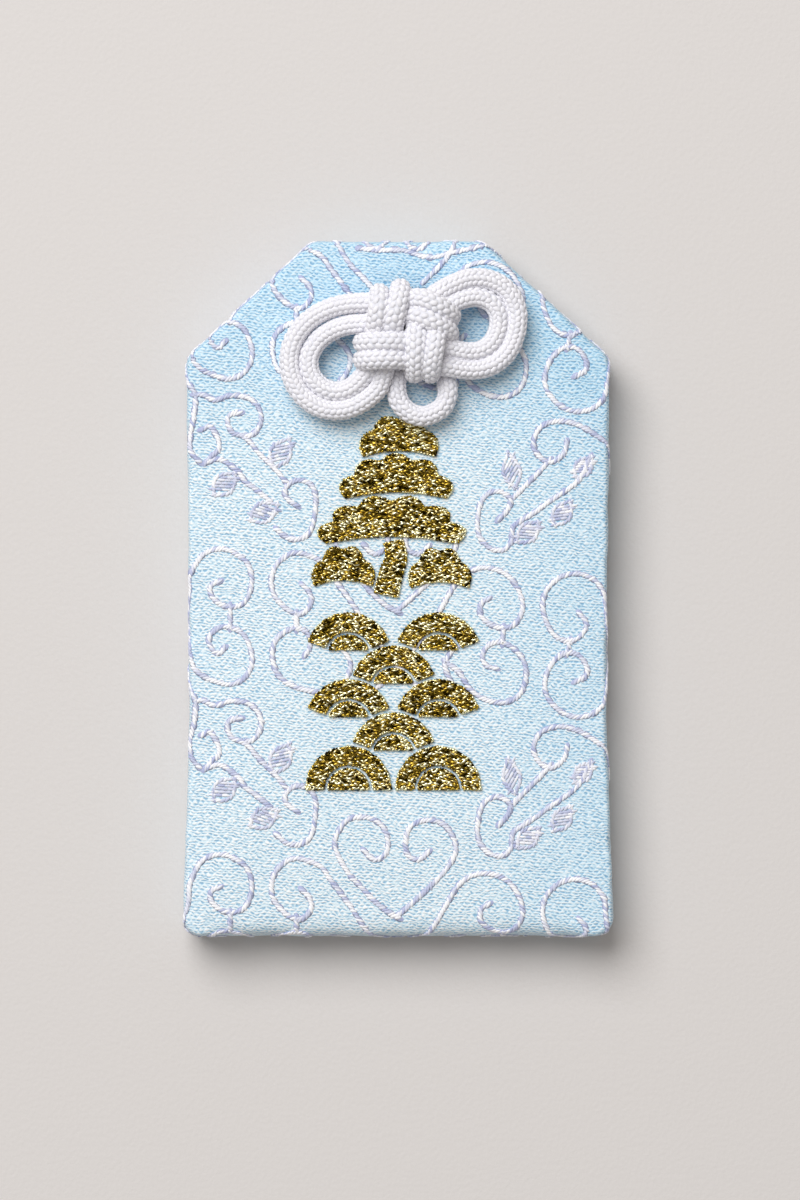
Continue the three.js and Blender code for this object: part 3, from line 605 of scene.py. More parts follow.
def pouch_skin(pouch):
    """Points, faces and, for each face corner, the place on the cloth strip laid out flat in mm."""
    # Profile of a half, from the seam's rim up the side and over the rounded edge
    quarter = np.linspace(0, math.pi / 2, ROUND_RINGS + 1)[1:]
    rounded = 1 - (1 - WALL_LEAN) * np.cos(quarter) ** ROUND_SQUARENESS
    insets = np.concatenate([np.linspace(0, WALL_LEAN, WALL_RINGS), rounded])
    edge = pouch_outline(pouch, 0)
    outward = unit(edge - pouch_outline(pouch, pouch.side_round))
    sewn = smooth_step(*FOLD_ENDS, edge[:, 1] - POUCH_BOTTOM)[:, None]
    starts = [pouch.base_width / 2 - reach for reach in FOLD_CORNERS]
    corner = smooth_step(*starts, np.abs(edge[:, :1]))

    def half(side_round, drop):
        """Heights off the seam, rounding, edge of the flat face and run of cloth from that edge."""
        wall = np.linspace(pouch.rim / 2, SEAM_LEVEL - drop, WALL_RINGS)
        heights = np.concatenate([wall, SEAM_LEVEL - drop * (1 - np.sin(quarter))])
        rounding = pouch.fold_round + (side_round - pouch.fold_round) * np.maximum(sewn, corner)
        steps = np.hypot(np.diff(insets) * rounding, np.diff(heights))
        runs = np.cumsum(np.column_stack([np.zeros(len(edge)), steps[:, ::-1]]), axis=1)[:, ::-1]
        return heights, rounding, edge - outward * rounding, runs

    rings, weave = [], []

    def add_ring(inset, level, place):
        """Adds a ring of points, and their places on the flat strip."""
        rings.append(np.column_stack([edge - outward * inset, np.full(len(edge), level)]))
        weave.append(place)

    back_half = half(pouch.back_round, pouch.back_round)
    heights, rounding, flat, runs = back_half
    for height, inset, run in zip(heights[::-1], insets[::-1], runs.T[::-1]):
        add_ring(rounding * inset, SEAM_LEVEL - height, flat + outward * run[:, None])
    front_half = half(pouch.side_round, pouch.edge_drop)
    heights, rounding, flat, runs = front_half
    fold_line = (flat[:, 1] - runs[:, 0]).min() - pouch.rim / 2
    # Three rings make the groove of the seam, the middle one the deepest
    for share, depth in ((-0.5, 0.5), (0, 1), (0.5, 0.5)):
        add_ring(
            pouch.groove * depth * sewn, SEAM_LEVEL + pouch.rim * share / 2,
            flat + outward * (runs[:, :1] + pouch.rim / 2 * (1 - abs(share))),
        )
    for height, inset, run in zip(heights, insets, runs.T):
        add_ring(rounding * inset, SEAM_LEVEL + height, flat + outward * run[:, None])

    count = len(edge)
    faces = []
    for ring in range(len(rings) - 1):
        for i in range(count):
            here = ring * count + i
            beside = ring * count + (i + 1) % count
            faces.append((here, beside, beside + count, here + count))
    points = [np.vstack(rings)]
    places = [np.vstack(weave)]
    total = len(points[0])
    hole = circle(48) * EYELET_OPEN + EYELET[:2]
    for front, (_, rounding, flat, _) in ((False, back_half), (True, front_half)):
        holes = [hole] if front else []
        face_points, triangles = flat_face(flat, edge - outward * (rounding + FACE_MARGIN), holes)
        new = face_points[count:]
        swell = np.zeros(len(new))
        if front:
            swell = pouch.crown * (1 - np.exp(-edge_distance(new, flat) / CROWN_REACH))
            swell -= pouch.dimple * near_eyelet(new)
        level = FACE if front else 0
        start = total - count
        offset = (len(rings) - 1) * count if front else 0
        for triangle in triangles:
            ids = [index + offset if index < count else index + start for index in triangle]
            faces.append(tuple(ids) if front else tuple(reversed(ids)))
        points.append(np.column_stack([new, level + swell]))
        places.append(new)
        total += len(new)
    points = np.vstack(points)
    places = np.vstack(places)
    slack = 0.01 * MM
    below = points[:, 2] < SEAM_LEVEL - slack
    corners = []
    for face in faces:
        spots = places[list(face)]
        # The strip runs on from the front, round the fold and up the back
        if below[list(face)].any():
            spots[:, 1] = 2 * fold_line - spots[:, 1]
        corners.append(spots)
    corners = np.vstack(corners) / MM
    return crease(pouch, points), faces, np.column_stack([corners, np.zeros(len(corners))])


def eyelet_reach(places):
    """Distance of places from the eyelet's middle, 1 at its edge."""
    return np.linalg.norm((np.asarray(places) - EYELET[:2]) / EYELET_OPEN, axis=-1)


def near_eyelet(places):
    """1 at the eyelet's edge, fading to 0 away from it."""
    return np.exp(-(np.maximum(eyelet_reach(places) - 1, 0) ** 2))


def flat_face(flat, inner, holes):
    """Points and triangles of a flat face: its edge first, then a grid inside the inner outline."""
    triangle_height = 0.866 * FACE_STEP
    hole_clearance = 1.15
    xs = np.arange(inner[:, 0].min(), inner[:, 0].max(), FACE_STEP)
    ys = np.arange(inner[:, 1].min(), inner[:, 1].max(), triangle_height)
    grid = np.array([(x + FACE_STEP / 2 * (row % 2), y) for row, y in enumerate(ys) for x in xs])
    grid = grid[inside(grid, inner)]
    for hole in holes:
        grid = grid[~inside(grid, EYELET[:2] + (hole - EYELET[:2]) * hole_clearance)]
    loops = [flat, *holes]
    corners = np.vstack([*loops, grid])
    edges = []
    start = 0
    for loop in loops:
        edges += [(start + i, start + (i + 1) % len(loop)) for i in range(len(loop))]
        start += len(loop)
    result = delaunay_2d_cdt([Vector(c) for c in corners], edges, [], 1, 1e-9)
    origins = [group[0] for group in result[3]]
    triangles = np.array([[origins[index] for index in face] for face in result[2]])
    for hole in holes:
        triangles = triangles[~inside(corners[triangles].mean(axis=1), hole)]
    return corners, triangles.tolist()


def inside(points, outline):
    """Whether each point lies inside the outline."""
    x, y = points[:, :1], points[:, 1:]
    x0, y0 = outline.T
    x1, y1 = np.roll(outline, -1, 0).T
    crosses = (y0 > y) != (y1 > y)
    reach = x0 + (y - y0) * (x1 - x0) / np.where(y1 == y0, 1e-12, y1 - y0)
    return (np.sum(crosses & (x < reach), axis=1) % 2) == 1


# How far in the puckers fade, the sizes of the long and the short ones, and the height of the
# short ones as a share
PUCKER_FADE = 2.5 * MM
PUCKER_SIZES = (3.2 * MM, 1.5 * MM)
SHORT_PUCKERS = 0.6
# Size and height of the cloth's unevenness
UNEVEN_SIZE = 9 * MM
UNEVEN_HEIGHT = 0.12 * MM


def crease(pouch, points):
    """Puckers along the sewn edges and a slight unevenness of the cloth."""
    edge = pouch_outline(pouch, 0)
    near = np.linalg.norm(points[:, None, :2] - edge[None, ::2], axis=2)
    outward = unit(edge - pouch_outline(pouch, 1 * MM))[::2][near.argmin(axis=1)]
    fade = np.exp(-near.min(axis=1) / PUCKER_FADE)
    long_size, short_size = PUCKER_SIZES
    folds = ripple(points * (1, 1, 0.4), long_size)
    folds += SHORT_PUCKERS * ripple(points + 1, short_size)
    level = ripple(points, UNEVEN_SIZE) * UNEVEN_HEIGHT
    front = smooth_step(SEAM_LEVEL, FACE, points[:, 2])
    moved = points.copy()
    moved[:, 2] += BACK_LIFT * (1 - smooth_step(0, SEAM_LEVEL, points[:, 2]))
    moved[:, :2] += outward * (folds * fade * pouch.pucker)[:, None]
    moved[:, 2] += front * (level + folds * fade * pouch.pucker)
    return moved


# Materials
def satin_brocade(pouch):
    """Rayon brocade: short staggered satin floats, with a painted highlight on their tops and,
    between them, the blue ground darkened as painted shade.
    """
    material, tree = new_material("Rayon brocade")
    places = add_node(tree, "ShaderNodeAttribute", attribute_name="cloth_mm").outputs["Vector"]
    # The rows wander by up to half a millimetre, with about one bend in a millimetre
    drift = add_node(tree, "ShaderNodeTexNoise", {"Vector": places, "Scale": 0.9, "Detail": 2.0})
    centred = add_node(
        tree, "ShaderNodeVectorMath", {0: drift.outputs["Color"], 1: (0.5, 0.5, 0.5)},
        operation="SUBTRACT",
    )
    wavy = add_node(
        tree, "ShaderNodeVectorMath",
        {0: centred.outputs[0], 1: (0.5, 0.75, 0.0), 2: places}, operation="MULTIPLY_ADD",
    ).outputs[0]
    along = add_node(
        tree, "ShaderNodeVectorMath", {0: wavy, 1: (MM / pouch.float_length, 0.0, 0.0)},
        operation="DOT_PRODUCT",
    ).outputs["Value"]
    # The rows slope a little across the cloth
    up = add_node(
        tree, "ShaderNodeVectorMath", {0: wavy, 1: (0.3, MM / pouch.float_pitch, 0.0)},
        operation="DOT_PRODUCT",
    ).outputs["Value"]
    dashes = []
    for phase in (0.0, 0.5):
        level = add_node(tree, "ShaderNodeMath", {0: up, 1: phase}, operation="ADD").outputs[0]
        row = add_node(tree, "ShaderNodeMath", {0: level}, operation="FLOOR").outputs[0]
        # Each row starts a little over half a float along from the one below
        place = add_node(
            tree, "ShaderNodeMath", {0: row, 1: 0.56, 2: along}, operation="MULTIPLY_ADD"
        ).outputs[0]
        column = add_node(tree, "ShaderNodeMath", {0: place}, operation="FLOOR").outputs[0]
        cell = add_node(tree, "ShaderNodeCombineXYZ", {"X": column, "Y": row, "Z": phase})
        luck = add_node(tree, "ShaderNodeTexWhiteNoise", {"Vector": cell.outputs[0]})
        dash = add_node(
            tree, "ShaderNodeMapRange", {"Value": luck.outputs["Value"], "To Min": 0.45}
        ).outputs[0]
        # A float fades out towards the two sides of its row and towards its two ends
        for value, full, none in ((level, 0.12, 0.42), (place, 0.22, 0.46)):
            share = add_node(tree, "ShaderNodeMath", {0: value}, operation="FRACT").outputs[0]
            off = add_node(tree, "ShaderNodeMath", {0: share, 1: 0.5}, operation="SUBTRACT")
            away = add_node(tree, "ShaderNodeMath", {0: off.outputs[0]}, operation="ABSOLUTE")
            fade = add_node(
                tree, "ShaderNodeMapRange",
                {"Value": away.outputs[0], "From Min": none, "From Max": full},
                interpolation_type="SMOOTHSTEP",
            )
            dash = add_node(
                tree, "ShaderNodeMath", {0: dash, 1: fade.outputs[0]}, operation="MULTIPLY"
            ).outputs[0]
        dashes.append(dash)
    difference = add_node(
        tree, "ShaderNodeMath", {0: dashes[0], 1: dashes[1]}, operation="SUBTRACT"
    ).outputs[0]
    # Painted glints: uneven bright flecks, about three to every two floats
    threads = add_node(tree, "ShaderNodeCombineXYZ", {"X": along, "Y": up})
    painted_glints = add_node(
        tree, "ShaderNodeTexNoise", {"Vector": threads.outputs[0], "Scale": 1.5, "Detail": 2.0}
    )
    painted_glint = add_node(
        tree, "ShaderNodeMapRange",
        {
            "Value": painted_glints.outputs["Fac"], "From Min": 0.3, "From Max": 0.7,
            "To Min": 0.18, "To Max": 0.82,
        },
    ).outputs[0]
    lifted = add_node(
        tree, "ShaderNodeMath", {0: difference, 1: 0.42, 2: painted_glint}, operation="MULTIPLY_ADD"
    ).outputs[0]
    base = add_node(
        tree, "ShaderNodeValToRGB", {"Fac": lifted},
        [(0.1, pouch.ground_and_shade_colour), (0.5, pouch.cloth_colour), (0.84, pouch.painted_crest_highlight)],
    ).outputs["Color"]
    # Painted shade: the cloth is tinted darker and bluer towards the mouth and the sides
    whole = add_node(tree, "ShaderNodeTexCoord").outputs["Object"]
    spot = add_node(tree, "ShaderNodeSeparateXYZ", {0: whole})
    shifted = add_node(tree, "ShaderNodeMath", {0: spot.outputs["X"], 1: 6 * MM}, operation="ADD")
    aside = add_node(tree, "ShaderNodeMath", {0: shifted.outputs[0]}, operation="ABSOLUTE")
    # Painted shade: the tint is also deeper where the cloth turns from facing up, round the rim
    turn = add_node(tree, "ShaderNodeNewGeometry").outputs["Normal"]
    tilt = add_node(tree, "ShaderNodeVectorMath", {0: turn}, operation="ABSOLUTE")
    facing = add_node(tree, "ShaderNodeSeparateXYZ", {0: tilt.outputs[0]})
    shade_parts = []
    for value, start, end, most in (
        (spot.outputs["Y"], 10 * MM, 33 * MM, 0.85), (aside.outputs[0], 10 * MM, 30 * MM, 0.5),
        (facing.outputs["Z"], 0.97, 0.4, 0.12),
    ):
        shade_parts.append(add_node(
            tree, "ShaderNodeMapRange",
            {"Value": value, "From Min": start, "From Max": end, "To Max": most},
            interpolation_type="SMOOTHSTEP",
        ).outputs[0])
    sides = add_node(tree, "ShaderNodeMath", {0: shade_parts[0], 1: shade_parts[1]}, operation="ADD")
    painted_shade_share = add_node(
        tree, "ShaderNodeMath", {0: sides.outputs[0], 1: shade_parts[2]}, operation="ADD", use_clamp=True
    ).outputs[0]
    shade_painted = add_node(
        tree, "ShaderNodeMix",
        {"Factor": painted_shade_share, "A": base, "B": pouch.painted_cloth_shade}, data_type="RGBA",
        blend_type="MULTIPLY",
    )
    bump = add_node(
        tree, "ShaderNodeBump",
        {"Strength": 0.6, "Distance": 0.1 * MM, "Height": lifted},
    )
    shader = add_node(tree, "ShaderNodeBsdfPrincipled", {
        "Base Color": shade_painted.outputs["Result"], "Roughness": 0.5, "Normal": bump.outputs[0],
        "Sheen Weight": 0.1, "Specular IOR Level": 0.4,
    })
    add_node(tree, "ShaderNodeOutputMaterial", {"Surface": shader.outputs[0]})
    return material


def spun_thread(name, dark, light, roughness, fibre):
    """Twisted thread: fine plies along it, each stitch a little lighter or darker than the next."""
    material, tree = new_material(name)
    shade = add_node(tree, "ShaderNodeAttribute", attribute_name="shade").outputs["Fac"]
    spot = add_node(tree, "ShaderNodeTexCoord").outputs["Object"]
    hairs = add_node(
        tree, "ShaderNodeTexNoise", {"Vector": spot, "Scale": 1 / fibre, "Detail": 2.0}
    ).outputs["Fac"]
    mixed = add_node(
        tree, "ShaderNodeMath", {0: hairs, 1: 0.35, 2: shade}, operation="MULTIPLY_ADD"
    ).outputs[0]
    base = add_node(
        tree, "ShaderNodeValToRGB", {"Fac": mixed}, [(0.12, dark), (0.85, light)]
    ).outputs["Color"]
    bump = add_node(
        tree, "ShaderNodeBump", {"Strength": 0.35, "Distance": fibre * 0.3, "Height": hairs}
    )
    shader = add_node(tree, "ShaderNodeBsdfPrincipled", {
        "Base Color": base, "Roughness": roughness, "Normal": bump.outputs[0],
        "Sheen Weight": 0.15, "Specular IOR Level": 0.35,
    })
    add_node(tree, "ShaderNodeOutputMaterial", {"Surface": shader.outputs[0]})
    return material


def gold_lame(embroidery):
    """Gilt foil wound on a core: hard bright flecks of painted highlight beside dark olive turns of
    painted shade.
    """
    material, tree = new_material("Gilt foil thread")
    shade = add_node(tree, "ShaderNodeAttribute", attribute_name="shade").outputs["Fac"]
    spot = add_node(tree, "ShaderNodeTexCoord").outputs["Object"]
    turns = add_node(
        tree, "ShaderNodeTexNoise", {"Vector": spot, "Scale": 1 / (0.5 * MM), "Detail": 2.0}
    ).outputs["Fac"]
    mixed = add_node(
        tree, "ShaderNodeMath", {0: turns, 1: 0.5, 2: shade}, operation="MULTIPLY_ADD"
    ).outputs[0]
    base = add_node(
        tree, "ShaderNodeValToRGB", {"Fac": mixed},
        [(0.27, embroidery.gold_painted_shade), (0.61, embroidery.gold_middle),
         (0.91, embroidery.gold_painted_highlight)],
    ).outputs["Color"]
    bump = add_node(
        tree, "ShaderNodeBump", {"Strength": 0.5, "Distance": 0.08 * MM, "Height": turns}
    )
    shader = add_node(tree, "ShaderNodeBsdfPrincipled", {
        "Base Color": base, "Metallic": 1.0, "Roughness": 0.28, "Normal": bump.outputs[0],
    })
    add_node(tree, "ShaderNodeOutputMaterial", {"Surface": shader.outputs[0]})
    return material


def fibrous(name, dark, light, grain, roughness, stretch=(1.0, 1.0, 1.0), sheen=0.0):
    """Matte stuff of pressed or grown fibres, mottled at the size of its grain."""
    material, tree = new_material(name)
    spot = add_node(tree, "ShaderNodeTexCoord").outputs["Object"]
    drawn = add_node(tree, "ShaderNodeMapping", {"Vector": spot, "Scale": stretch}).outputs[0]
    mottle = add_node(
        tree, "ShaderNodeTexNoise", {"Vector": drawn, "Scale": 1 / grain, "Detail": 5.0}
    ).outputs["Fac"]
    base = add_node(
        tree, "ShaderNodeValToRGB", {"Fac": mottle}, [(0.3, dark), (0.7, light)]
    ).outputs["Color"]
    bump = add_node(
        tree, "ShaderNodeBump", {"Strength": 0.4, "Distance": grain * 0.2, "Height": mottle}
    )
    shader = add_node(tree, "ShaderNodeBsdfPrincipled", {
        "Base Color": base, "Roughness": roughness, "Normal": bump.outputs[0],
        "Sheen Weight": sheen, "Specular IOR Level": 0.3,
    })
    add_node(tree, "ShaderNodeOutputMaterial", {"Surface": shader.outputs[0]})
    return material


# Placing thread on the cloth: rays go down from above the part, and scroll stitches keep this many
# of the eyelet's radii from its middle
DOWN = Vector((0, 0, -1))
RAY_START = 20 * MM
EYELET_CLEAR = 1.5


def node_tree(node):
    """Search tree of a CAD node's surface."""
    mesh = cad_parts[node].data
    points = [vertex.co for vertex in mesh.vertices]
    return BVHTree.FromPolygons(points, [polygon.vertices for polygon in mesh.polygons])


class Cloth:
    """The pouch's skin, to set thread on, found by its places on the strip laid out flat."""

    def __init__(self):
        mesh = bpy.data.objects["pouch_brocade"].data
        mesh.calc_loop_triangles()
        places = np.array([corner.vector for corner in mesh.attributes["cloth_mm"].data]) * MM
        corners = np.array([triangle.loops for triangle in mesh.loop_triangles])
        ids = np.array([triangle.vertices for triangle in mesh.loop_triangles])
        self.flat = places[corners]
        self.points = np.array([vertex.co for vertex in mesh.vertices])[ids]
        self.normals = np.array([vertex.normal for vertex in mesh.vertices])[ids]
        rows = np.arange(corners.size).reshape(-1, 3)
        self.tree = BVHTree.FromPolygons(self.flat.reshape(-1, 3).tolist(), rows.tolist())
        self.islands = [node_tree(node) for node in GOLD_NODES]

    def covered(self, x, y):
        """Whether a place on the front lies under the gold or beside the eyelet's stitches."""
        above = Vector((x, y, RAY_START))
        gold = any(tree.ray_cast(above, DOWN)[0] for tree in self.islands)
        return gold or eyelet_reach((x, y)) < EYELET_CLEAR

    def touch(self, x, y):
        """Point and outward normal of the cloth at a place on the strip, or None past its edge."""
        found, _, row, _ = self.tree.ray_cast(Vector((x, y, RAY_START)), DOWN)
        if found is None:
            return None
        shares = np.array(poly_3d_calc([Vector(corner) for corner in self.flat[row]], found))
        return shares @ self.points[row], unit(shares @ self.normals[row])

    def rises(self, points):
        """How far the cloth stands over the level of the front face at each point."""
        return np.array([self.touch(x, y)[0][2] for x, y, _ in points]) - FACE


def photo_place(pixel):
    """Place on the front of the pouch, in metres, of a pixel of the photo."""
    return (
        (pixel[0] - PHOTO_MIDDLE[0]) * PHOTO_PIXEL,
        (PHOTO_MIDDLE[1] - pixel[1]) * PHOTO_PIXEL,
    )


def turned(vectors, axes, angles):
    """Vectors turned about axes that are square to them."""
    cosines, sines = np.cos(angles)[:, None], np.sin(angles)[:, None]
    return vectors * cosines + np.cross(axes, vectors) * sines


# A leaf from its base at -1 to its tip at 1: its upper side, and the strokes that fill it by the
# places of their middles, half their run along the leaf and half their reach across
LEAF_SIDE = [(-1, 0), (-0.6, 0.6), (0, 0.95), (0.6, 0.6), (1.1, 0)]
LEAF_FILLS = (-0.5, -0.2, 0.1, 0.4, 0.65)
FILL_RUN = 0.3
FILL_REACH = 0.45


def leaf_strokes(middle, tip, slimness):
    """The two sides of a leaf and the short strokes that fill it, in pixels of the photo."""
    middle, tip = np.array(middle, float), np.array(tip, float)
    axis = tip - middle
    across = np.array((-axis[1], axis[0])) * slimness
    sides = [LEAF_SIDE, [(run, -out) for run, out in LEAF_SIDE]]
    fills = [
        [(place - FILL_RUN, -FILL_REACH), (place + FILL_RUN, FILL_REACH)] for place in LEAF_FILLS
    ]
    return [
        [[middle + axis * run + across * out for run, out in stroke] for stroke in strokes]
        for strokes in (sides, fills)
    ]


def scroll_strokes(part):
    """Strokes of all the repeats, in pixels of the photo: stems, or the leaves' sides or fills."""
    if part == "stems":
        strokes, alone = SCROLL_STROKES, [np.array(MOUTH_STROKE, float)]
    else:
        leaves = [leaf_strokes(*leaf) for leaf in SCROLL_LEAVES]
        strokes, alone = [stroke for leaf in leaves for stroke in leaf[part == "fills"]], []
    repeats = [(0, SCROLL_REPEAT * repeat) for repeat in range(-2, 4)]
    return [np.array(stroke, float) + repeat for repeat in repeats for stroke in strokes] + alone


def scroll_lines(cloth, strokes, step, reach):
    """Place, direction, normal and bend of the cloth at each step along the strokes."""
    found = []
    for stroke in strokes:
        path = even_path([photo_place(pixel) for pixel in stroke], step)
        ahead = path + unit(np.gradient(path, axis=0)) * reach
        for spot, next_spot in zip(path, ahead):
            here, there = cloth.touch(*spot), cloth.touch(*next_spot)
            if here and there and not cloth.covered(*spot):
                bend = np.linalg.norm(there[1] - here[1]) / reach
                found.append((here[0], unit(there[0] - here[0]), here[1], bend))
    return [np.array(rows) for rows in zip(*found)]


# Layers of gold stitches: their slope in degrees, the spacing of their rows and along a row as
# shares of a stitch's pitch and length, and their level as a share of the island's height
GOLD_LAYERS = ((-16, 1, 0.8, 0.62), (24, 1.6, 1.3, 0.78))
# How unevenly they lie: share of the spacing, and spread of the slope in degrees
GOLD_SCATTER = 0.2
GOLD_SWING = 14
# A stitch is cut at the island's edge, in this many steps, and left out if it gets too short
CUT_STEPS = 5
SHORTEST_GOLD = 0.3
# Stitches along the edge: spacing, slope and its spread in degrees, length and range of levels
EDGE_SPACING = 1.2
EDGE_SLOPE = (24, 12)
EDGE_LENGTH = 1.2
EDGE_LEVELS = (0.35, 0.6)


def island_stitches(node, embroidery, rng):
    """Centres, directions and lengths of the gold stitches that cover one island."""
    island = node_tree(node)
    low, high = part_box(node)
    middle = (low + high) / 2
    reach = (high - low).length / 2
    half = embroidery.gold_stitch / 2
    found = []
    for slope, row_share, stitch_share, level_share in GOLD_LAYERS:
        axis = Vector((math.cos(math.radians(slope)), math.sin(math.radians(slope)), 0))
        across = Vector((-axis.y, axis.x, 0))
        pitch = embroidery.gold_pitch * row_share
        spacing = embroidery.gold_stitch * stitch_share
        level = low.z + (high.z - low.z) * level_share
        rows = int(reach / pitch) + 1
        columns = int(reach / spacing) + 1
        for row in range(-rows, rows + 1):
            for column in range(-columns, columns + 1):
                shift = 0.5 * (row % 2) + rng.uniform(-GOLD_SCATTER, GOLD_SCATTER)
                spot = middle + axis * (column + shift) * spacing
                spot = spot + across * (row + rng.uniform(-GOLD_SCATTER, GOLD_SCATTER)) * pitch
                swing = math.radians(rng.normal(0, GOLD_SWING))
                heading = axis * math.cos(swing) + across * math.sin(swing)
                spot.z = RAY_START
                if island.ray_cast(spot, DOWN)[0] is None:
                    continue
                ends = []
                for sign in (-1, 1):
                    steps = 0
                    while steps < CUT_STEPS:
                        probe = spot + heading * sign * half * (steps + 1) / CUT_STEPS
                        if island.ray_cast(probe, DOWN)[0] is None:
                            break
                        steps += 1
                    ends.append(sign * half * steps / CUT_STEPS)
                if ends[1] - ends[0] < SHORTEST_GOLD * half:
                    continue
                centre = spot + heading * sum(ends) / 2
                found.append(((centre.x, centre.y, level), tuple(heading), ends[1] - ends[0]))
    for start, end in island_edges(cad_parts[node].data):
        side = end - start
        count = max(1, round(side.length / (embroidery.gold_pitch * EDGE_SPACING)))
        for share in (np.arange(count) + 0.5) / count:
            swing = math.radians(rng.normal(*EDGE_SLOPE))
            run = side.normalized()
            heading = run * math.cos(swing) + Vector((-run.y, run.x, 0)) * math.sin(swing)
            spot = start + side * share
            level = low.z + (high.z - low.z) * rng.uniform(*EDGE_LEVELS)
            found.append(((spot.x, spot.y, level), tuple(heading), half * EDGE_LENGTH))
    return [np.array(rows) for rows in zip(*found)]


def island_edges(mesh):
    """Ends of each edge round the top of an island: those that only one of its triangles has."""
    upward = 0.9
    seen = {}
    for polygon in mesh.polygons:
        if polygon.normal.z > upward:
            for key in polygon.edge_keys:
                places = [mesh.vertices[index].co.copy().freeze() for index in key]
                places.sort(key=tuple)
                name = tuple(tuple(round(part, 7) for part in place) for place in places)
                seen.setdefault(name, []).append(places)
    return [edges[0] for edges in seen.values() if len(edges) == 1]


# The stage: half the floor's side, how dark its tooth is, and the lamp's size and place
FLOOR_HALF = 600 * MM
FLOOR_TOOTH = 0.985
LAMP_SIZE = 1000 * MM
LAMP_PLACE = (-0.4, 0.62, 1.05)


# Operators
class CHARM_OT_stage(bpy.types.Operator):
    """Lays the floor, hangs the lights and sets the camera overhead"""

    bl_idname = "charm.stage"
    bl_label = "Stage"

    def execute(self, context):
        settings = context.scene.charm_stage
        scene = context.scene
        scene.view_settings.view_transform = "Standard"
        # Matte card: even and pale, with a faint tooth
        pale = list(settings.floor_colour)
        dim = [part * FLOOR_TOOTH for part in pale[:3]] + [1.0]
        card = fibrous("Matte card", dim, pale, 0.5 * MM, 0.9)
        mesh = bpy.data.meshes.new("floor")
        corners = np.array([(-1, -1, 0), (1, -1, 0), (1, 1, 0), (-1, 1, 0)]) * FLOOR_HALF
        mesh.from_pydata(corners.tolist(), [], [(0, 1, 2, 3)])
        mesh.materials.append(card)
        floor = bpy.data.objects.new("floor", mesh)
        scene.collection.objects.link(floor)

        world = bpy.data.worlds.new("Studio")
        scene.world = world
        world.use_nodes = True
        background = world.node_tree.nodes["Background"]
        background.inputs["Color"].default_value = settings.fill_colour
        background.inputs["Strength"].default_value = settings.fill

        lamp = bpy.data.lights.new("key", "AREA")
        lamp.shape = "DISK"
        lamp.size = LAMP_SIZE
        lamp.energy = settings.key_power
        key = bpy.data.objects.new("key", lamp)
        key.location = Vector(LAMP_PLACE)
        key.rotation_euler = (-key.location).to_track_quat("-Z", "Y").to_euler()
        scene.collection.objects.link(key)

        data = bpy.data.cameras.new("overhead")
        data.sensor_fit = "VERTICAL"
        data.sensor_height = 24
        reach = settings.camera_height - SEAM_LEVEL
        data.lens = data.sensor_height * reach / (PHOTO_SIZE[1] * PHOTO_PIXEL)
        camera = bpy.data.objects.new("overhead", data)
        x, y = photo_place((PHOTO_SIZE[0] / 2, PHOTO_SIZE[1] / 2))
        camera.location = (x, y, settings.camera_height)
        scene.collection.objects.link(camera)
        scene.camera = camera
        return {"FINISHED"}


# The eyelet squeezes the legs: its depth below the front face, reach along them and amount
PINCH_DEPTH = 0.5 * MM
PINCH_REACH = 0.85 * MM
PINCH = 0.48
# Pulled tight, the core's strands spread: distances from the knot's middle, and girths there
SPREAD_PLACES = (1.4 * MM, 2.6 * MM, 6 * MM)
SPREAD_GIRTHS = (1.24, 1.14, 1.07)


class CHARM_OT_knot(bpy.types.Operator):
    """Braids the cord along the knot's route and the tails inside the pouch"""

    bl_idname = "charm.knot"
    bl_label = "Braided knot"

    def execute(self, context):
        cord = context.scene.charm_cord
        rng = np.random.default_rng(7)
        yarn = spun_thread("Rayon braid", cord.painted_cord_shade, cord.yarn_colour, 0.7, 0.16 * MM)
        tails_route = np.array(TAILS_ROUTE) * MM + EYELET

        def pinched(path):
            """The legs are squeezed where they pass through the eyelet."""
            away = FACE - PINCH_DEPTH - path[:, 2]
            return 1 - PINCH * np.exp(-((away / PINCH_REACH) ** 2))

        points, faces, shades, _ = braided(tails_route, cord, rng, pinched)
        tails = make_piece(
            "tails_braid", points, faces, yarn, "tails", ["cord_tails"],
            {"shade": shades},
        )
        middle = np.array((*KNOT_MIDDLE, FACE / MM))
        route = (np.array(KNOT_ROUTE) + middle) * MM

        def pressed(path):
            """Pulled tight, the strands of the core spread until they meet."""
            away = np.linalg.norm((path - middle * MM)[:, :2], axis=1)
            return np.interp(away, SPREAD_PLACES, SPREAD_GIRTHS)

        points, faces, shades, centres = braided(route, cord, rng, pressed)
        knot = make_piece(
            "knot_braid", points, faces, yarn, "knot", ["knot_cord"],
            {"shade": shades},
        )
        return {"FINISHED"}


class CHARM_OT_pouch(bpy.types.Operator):
    """Makes the brocade pouch with its rounded rim, drawn-in seams and eyelet"""

    bl_idname = "charm.pouch"
    bl_label = "Brocade pouch"

    def execute(self, context):
        pouch = context.scene.charm_pouch
        points, faces, places = pouch_skin(pouch)
        skin = make_piece(
            "pouch_brocade", points, faces, satin_brocade(pouch), "pouch",
            ["brocade_strip"], {"cloth_mm": places},
        )
        thickness = skin.modifiers.new("cloth thickness", "SOLIDIFY")
        thickness.thickness = pouch.cloth
        thickness.offset = -1
        return {"FINISHED"}


# A scroll stitch: its height and dip, how far its ends may stand off bent cloth, how far ahead that
# bend is felt as a share of its length, and the spread of its slant as a share of the slant
SCROLL_HEIGHT = 0.14 * MM
SCROLL_DIP = 0.05 * MM
STAND_OFF = 0.0625 * MM
SCROLL_REACH = 0.4
SLANT_SPREAD = 0.22


